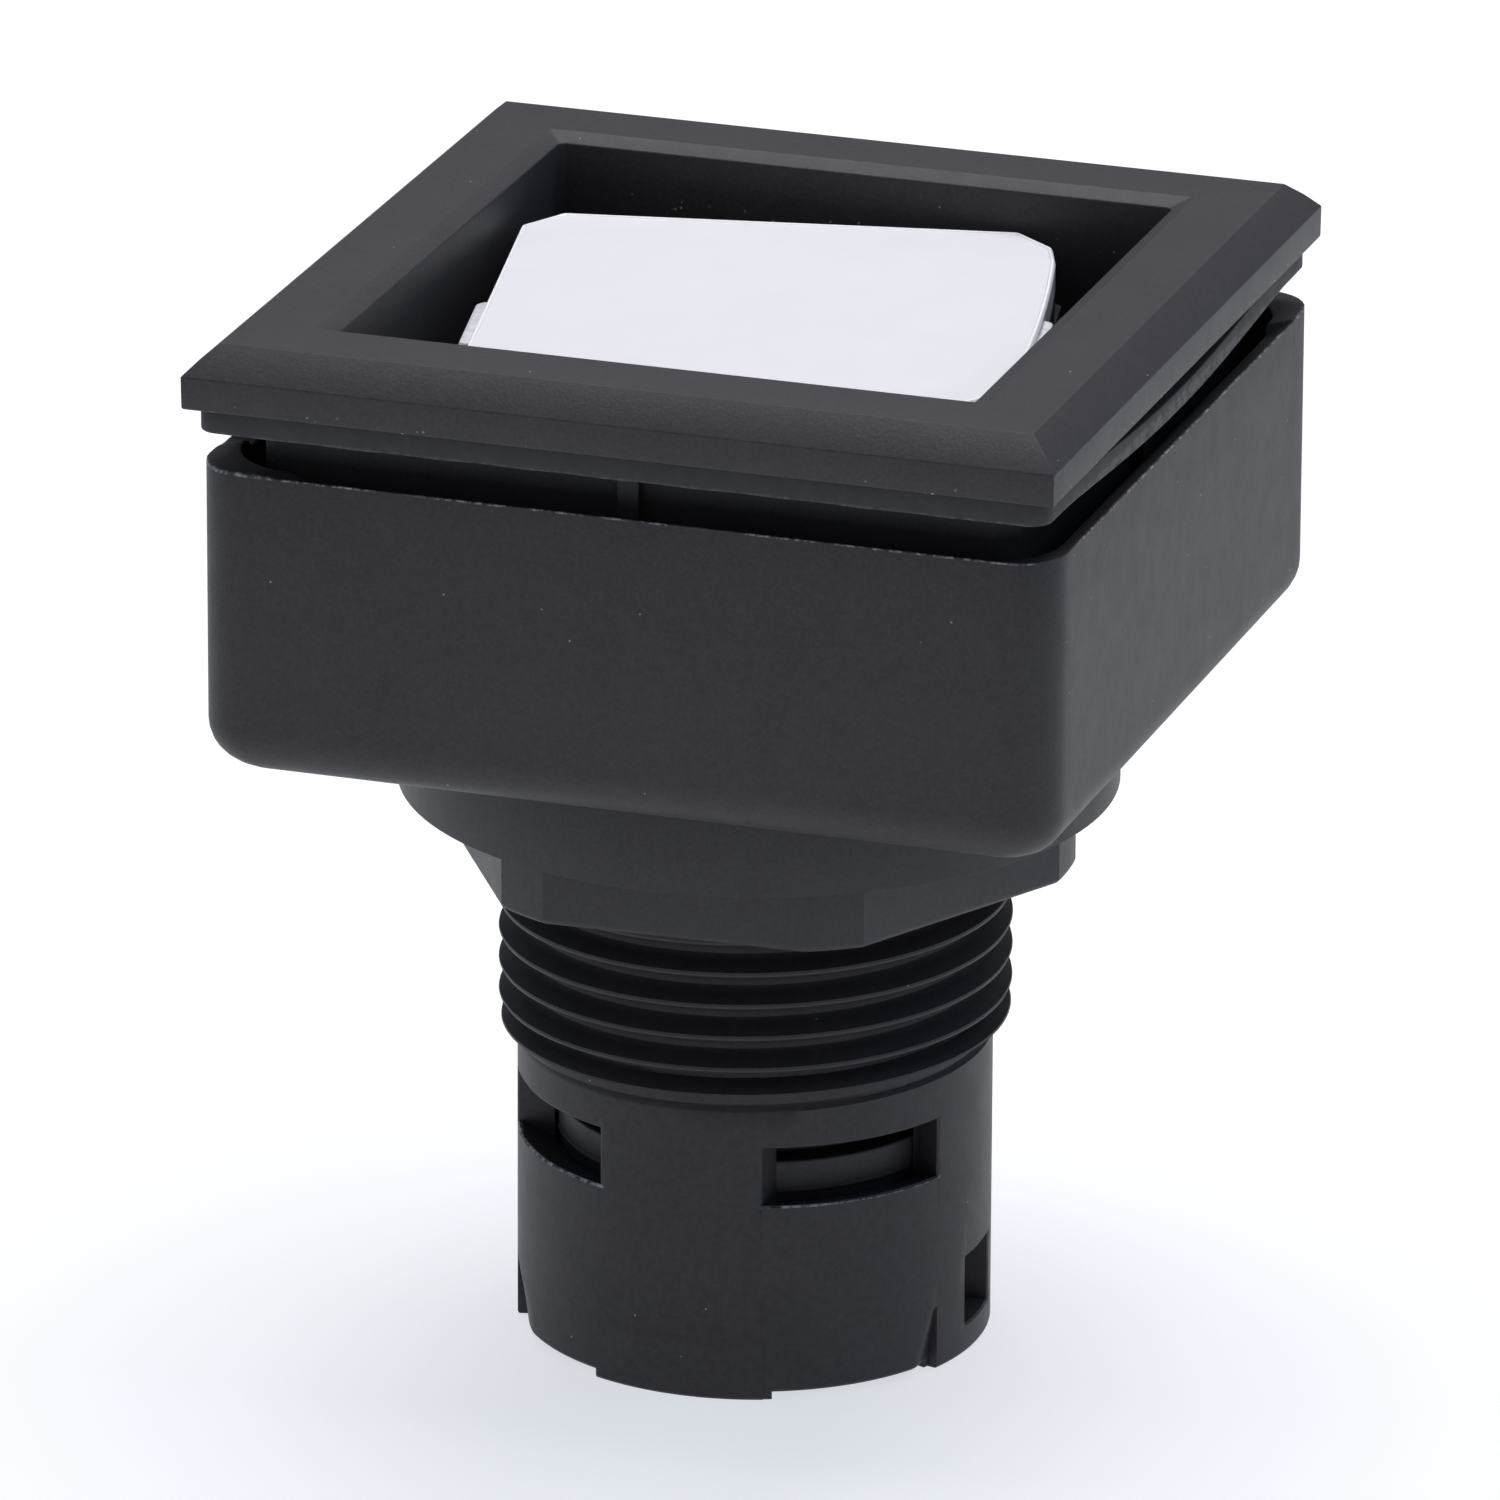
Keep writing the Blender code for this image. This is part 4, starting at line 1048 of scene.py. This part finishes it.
def add_collar(skin, grid, bore_ring):
    """Collar over the thread, joined to the helix's top row outside and to the bore inside."""
    profile = [
        (BARREL_RADIUS, COLLAR_BOTTOM, 0),
        (COLLAR_RADIUS, COLLAR_BOTTOM, 0.12),
        (COLLAR_RADIUS, BARREL_TOP, 0.2),
        (BARREL_BORE, BARREL_TOP, 0.15),
        (BARREL_BORE, WALL_TOP, 0),
    ]
    loops = [skin.ring(r, z) for r, z in filleted(profile, closed=False)[:-1]]
    join_loops(skin.bm, loops + [bore_ring])
    low, last = loops[0], skin.count - 1
    top = THREAD_STEPS * THREAD_TURNS
    for i in range(last):
        skin.face(grid[top][i], grid[top][i + 1], low[i + 1], low[i])
    skin.face(grid[top][last], grid[-1][0], low[0], low[last])
    skin.face(*[row[0] for row in grid[top:]], low[0])


def make_barrel():
    """Threaded barrel in one skin: perforated rear tube, helical thread, collar and bore."""
    skin = BarrelSkin()
    outer_ring, bore_ring = add_wall(skin)
    grid = add_thread(skin, outer_ring)
    add_collar(skin, grid, bore_ring)
    bm = skin.bm
    for loose in [vert for vert in bm.verts if not vert.link_faces]:
        bm.verts.remove(loose)
    bmesh.ops.translate(bm, vec=(BARREL_SHIFT, 0.0, 0.0), verts=bm.verts)
    piece("barrel_body", bm, "housing", "threaded_barrel", "barrel_plastic", 30.0)


def make_sleeve():
    """Liner whose band shows in the bayonet recesses. The corners go up its outside and down its bore."""
    profile = filleted(
        [
            (SLEEVE_MOUTH, SLEEVE_BOTTOM, 0),
            (8.5, SLEEVE_BOTTOM, 0),
            (8.5, 8.84, 0),
            (BEAD_RADIUS, BAND_BOTTOM, 0.03),
            (BEAD_RADIUS, 8.96, 0.03),
            (SLEEVE_RADIUS, 9.0, 0.02),
            (SLEEVE_RADIUS, 10.24, 0.1),
            (GROOVE_RADIUS, 10.28, 0),
            (GROOVE_RADIUS, GROOVE_TOP, 0),
            (SLEEVE_RADIUS, GROOVE_TOP, 0.08),
            (SLEEVE_RADIUS, SLEEVE_TOP, 0.15),
            (SLEEVE_BORE, SLEEVE_TOP, 0.15),
            (SLEEVE_BORE, SLEEVE_FLOOR, 0.2),
            (SLEEVE_MOUTH, SLEEVE_FLOOR, 0.1),
        ]
    )
    bm = ring_skin(turned_rows(profile, 128))
    piece("sleeve_liner", bm, "housing", "guide_sleeve", "sleeve_plastic")


def lens_outline(width, leg, z):
    """Row of points round the lens. width is its half width and leg the length of a cut corner's legs."""
    offsets = (-LENS_NARROW, LENS_BACK, -LENS_LEFT, 0.0)
    reach = width - leg
    row = []
    for quarter in range(4):
        side = Matrix.Rotation(quarter * math.pi / 2, 2)
        here, after = width + offsets[quarter], width + offsets[(quarter + 1) % 4]
        bow = LENS_BOW if quarter == 0 else 0.0
        sweep = [(here + bow * (1 - (place / LENS_HALF) ** 2), place) for place in range(-8, 9, 2)]
        corner = [(here, reach - 0.12), (here - 0.05, reach), (reach, after - 0.05), (reach - 0.12, after)]
        for x, y in sweep + corner:
            point = side @ Vector((x, y))
            row.append((point.x, point.y, z))
    return row


def make_lens():
    """White lens with cut corners, a fine raised edge and two side tabs, turned against the frame."""
    floor = LENS_FACE - 0.05
    sections = [
        (LENS_HALF - LENS_WALL, LENS_BOTTOM, 0),
        (LENS_HALF, LENS_BOTTOM, 0.08),
        (LENS_HALF, LENS_FACE - 0.16, 0.07),
        (LENS_HALF - 0.08, LENS_FACE, 0.05),
        (LENS_HALF - LENS_RIM, LENS_FACE, 0.03),
        (LENS_HALF - LENS_RIM - 0.06, floor, 0.03),
        (LENS_HALF - 2.0, floor, 0),
    ]
    rows = []
    for width, z in filleted(sections, closed=False, steps=3):
        rows.append(lens_outline(width, LENS_CUT - (LENS_HALF - width) * 0.42, z))
    bm = bmesh.new()
    add_skin(bm, rows)
    bm.faces.new([bm.verts.new(point) for point in rows[-1]])
    ceiling = lens_outline(LENS_HALF - LENS_WALL, LENS_CUT - 0.38, LENS_FACE - 1.2)
    add_skin(bm, [rows[0], ceiling])
    bm.faces.new([bm.verts.new(point) for point in ceiling])
    add_tab(bm, -1)
    add_tab(bm, 1)
    turn = Matrix.Translation((*LENS_SHIFT, 0.0)) @ Matrix.Rotation(LENS_TURN, 4, "Z")
    bmesh.ops.transform(bm, matrix=turn, verts=bm.verts)
    piece("lens_shell", bm, "head", "lens_cap", "lens_plastic", 26.0)


def add_tab(bm, side):
    """Rounded tab low on one side of the lens."""
    bottom, top = LENS_BOTTOM, LENS_FACE - 0.35
    middle, reach = (-1.7, 0.95) if side > 0 else (-2.5, 0.45)
    soft = 0.35
    sections = (
        (2.8, reach - 0.08, bottom),
        (2.8, reach, bottom + 0.1),
        (2.8, reach, top - 0.22),
        (2.74, reach - 0.06, top - 0.08),
        (2.62, reach - 0.2, top),
    )
    rows = []
    for y_half, out, z in sections:
        low, high = [], []
        for angle in quarter_steps(4):
            across, along = soft * math.sin(angle), soft * math.cos(angle)
            low.append((LENS_HALF + out - soft + across, -y_half + soft - along))
            high.append((LENS_HALF + out - soft + along, y_half - soft + across))
        outline = [(LENS_HALF - 0.3, -y_half)] + low + high + [(LENS_HALF - 0.3, y_half)]
        points = [(side * x, y + middle, z) for x, y in outline]
        rows.append(points if side > 0 else points[::-1])
    add_skin(bm, rows, cap=True)


# Studio.


def make_camera():
    """Camera of the photograph."""
    across, along = math.sin(CAMERA_AZIMUTH), math.cos(CAMERA_AZIMUTH)
    cos_up = math.cos(CAMERA_ELEVATION)
    back = Vector((across * cos_up, -along * cos_up, math.sin(CAMERA_ELEVATION)))
    flat_right = Vector((along, across, 0.0))
    flat_up = back.cross(flat_right)
    right = flat_right * math.cos(CAMERA_ROLL) + flat_up * math.sin(CAMERA_ROLL)
    up = flat_up * math.cos(CAMERA_ROLL) - flat_right * math.sin(CAMERA_ROLL)
    data = bpy.data.cameras.new("camera")
    data.lens = CAMERA_LENS
    data.sensor_width = 36.0
    data.clip_start = 0.01
    data.clip_end = 10.0
    camera = linked("camera", data)
    aim = Vector((0.0, 0.0, TOP * MM)) + flat_right * AIM_SIDE + flat_up * AIM_UP
    place = aim + back * CAMERA_DISTANCE
    axes = Matrix((right, up, back)).transposed().to_4x4()
    camera.matrix_world = Matrix.Translation(place) @ axes
    bpy.context.scene.camera = camera


LIT_PLACE = Vector((0.0, 0.0, 0.03))


def softbox(name, location, size, energy, colour):
    """Square light turned to the object. Its place and size are in metres."""
    data = bpy.data.lights.new(name, "AREA")
    data.shape = "SQUARE"
    data.size = size
    data.energy = energy
    data.color = colour
    light = linked(name, data)
    light.location = location
    light.rotation_mode = "QUATERNION"
    light.rotation_quaternion = (LIT_PLACE - Vector(location)).to_track_quat("-Z", "Y")


def side_tint(tree):
    """Colour of the world's light: nearly white in front and above, bluer from the left and right."""
    around = tree.nodes.new("ShaderNodeTexCoord")
    split = tree.nodes.new("ShaderNodeSeparateXYZ")
    tree.links.new(around.outputs["Generated"], split.inputs[0])
    aside = tree.nodes.new("ShaderNodeMath")
    aside.operation = "ABSOLUTE"
    tree.links.new(split.outputs[0], aside.inputs[0])
    tint = tree.nodes.new("ShaderNodeValToRGB")
    front, side = tint.color_ramp.elements
    front.position, front.color = 0.3, (0.96, 0.95, 1.0, 1.0)
    side.position, side.color = 0.95, (0.6, 0.74, 1.0, 1.0)
    tree.links.new(aside.outputs[0], tint.inputs["Fac"])
    return tint.outputs["Color"]


def make_world():
    """White behind the object, dimmer as a light, so that the black plastic keeps its depth."""
    world = bpy.data.worlds.new("studio")
    world.use_nodes = True
    tree = world.node_tree
    lit = tree.nodes["Background"]
    lit.inputs["Strength"].default_value = 0.215
    tree.links.new(side_tint(tree), lit.inputs["Color"])
    seen = tree.nodes.new("ShaderNodeBackground")
    seen.inputs["Color"].default_value = (1.0, 1.0, 1.0, 1.0)
    path = tree.nodes.new("ShaderNodeLightPath")
    mix = tree.nodes.new("ShaderNodeMixShader")
    tree.links.new(path.outputs["Is Camera Ray"], mix.inputs["Fac"])
    tree.links.new(lit.outputs[0], mix.inputs[1])
    tree.links.new(seen.outputs[0], mix.inputs[2])
    tree.links.new(mix.outputs[0], tree.nodes["World Output"].inputs["Surface"])
    bpy.context.scene.world = world


def make_floor():
    """White paper under the object, in metres. It glows a little, to stay as white as what is behind."""
    reach = 3.0
    corners = [(-reach, -reach, 0), (reach, -reach, 0), (reach, reach, 0), (-reach, reach, 0)]
    mesh = bpy.data.meshes.new("floor")
    mesh.from_pydata(corners, [], [(0, 1, 2, 3)])
    paint = Paint("floor_paper")
    paint.set(Roughness=0.95, Specular_IOR_Level=0.1, Emission_Strength=0.64)
    paint.set(Emission_Color=(0.98, 1.01, 1.07, 1.0))
    paint.join(paint.ramp(paint.noise(40.0), (0.41, 0.41, 0.41), (0.42, 0.42, 0.42)), "Base Color")
    mesh.materials.append(paint.material)
    linked("floor", mesh)


make_camera()
dress_nodes()
make_bezel()
make_gasket()
make_cup()
make_nut()
make_barrel()
make_sleeve()
make_lens()
make_world()
make_floor()
softbox("overhead", location=(-0.02, 0.155, 0.62), size=0.55, energy=4.25, colour=(1.0, 1.0, 1.0))
softbox("side", location=(0.5, 0.1, 0.45), size=0.35, energy=0.34, colour=(0.42, 0.68, 1.0))
softbox("other_side", location=(-0.6, 0.0, 0.25), size=0.35, energy=0.17, colour=(0.55, 0.76, 1.0))
bpy.context.scene.view_settings.view_transform = "Standard"
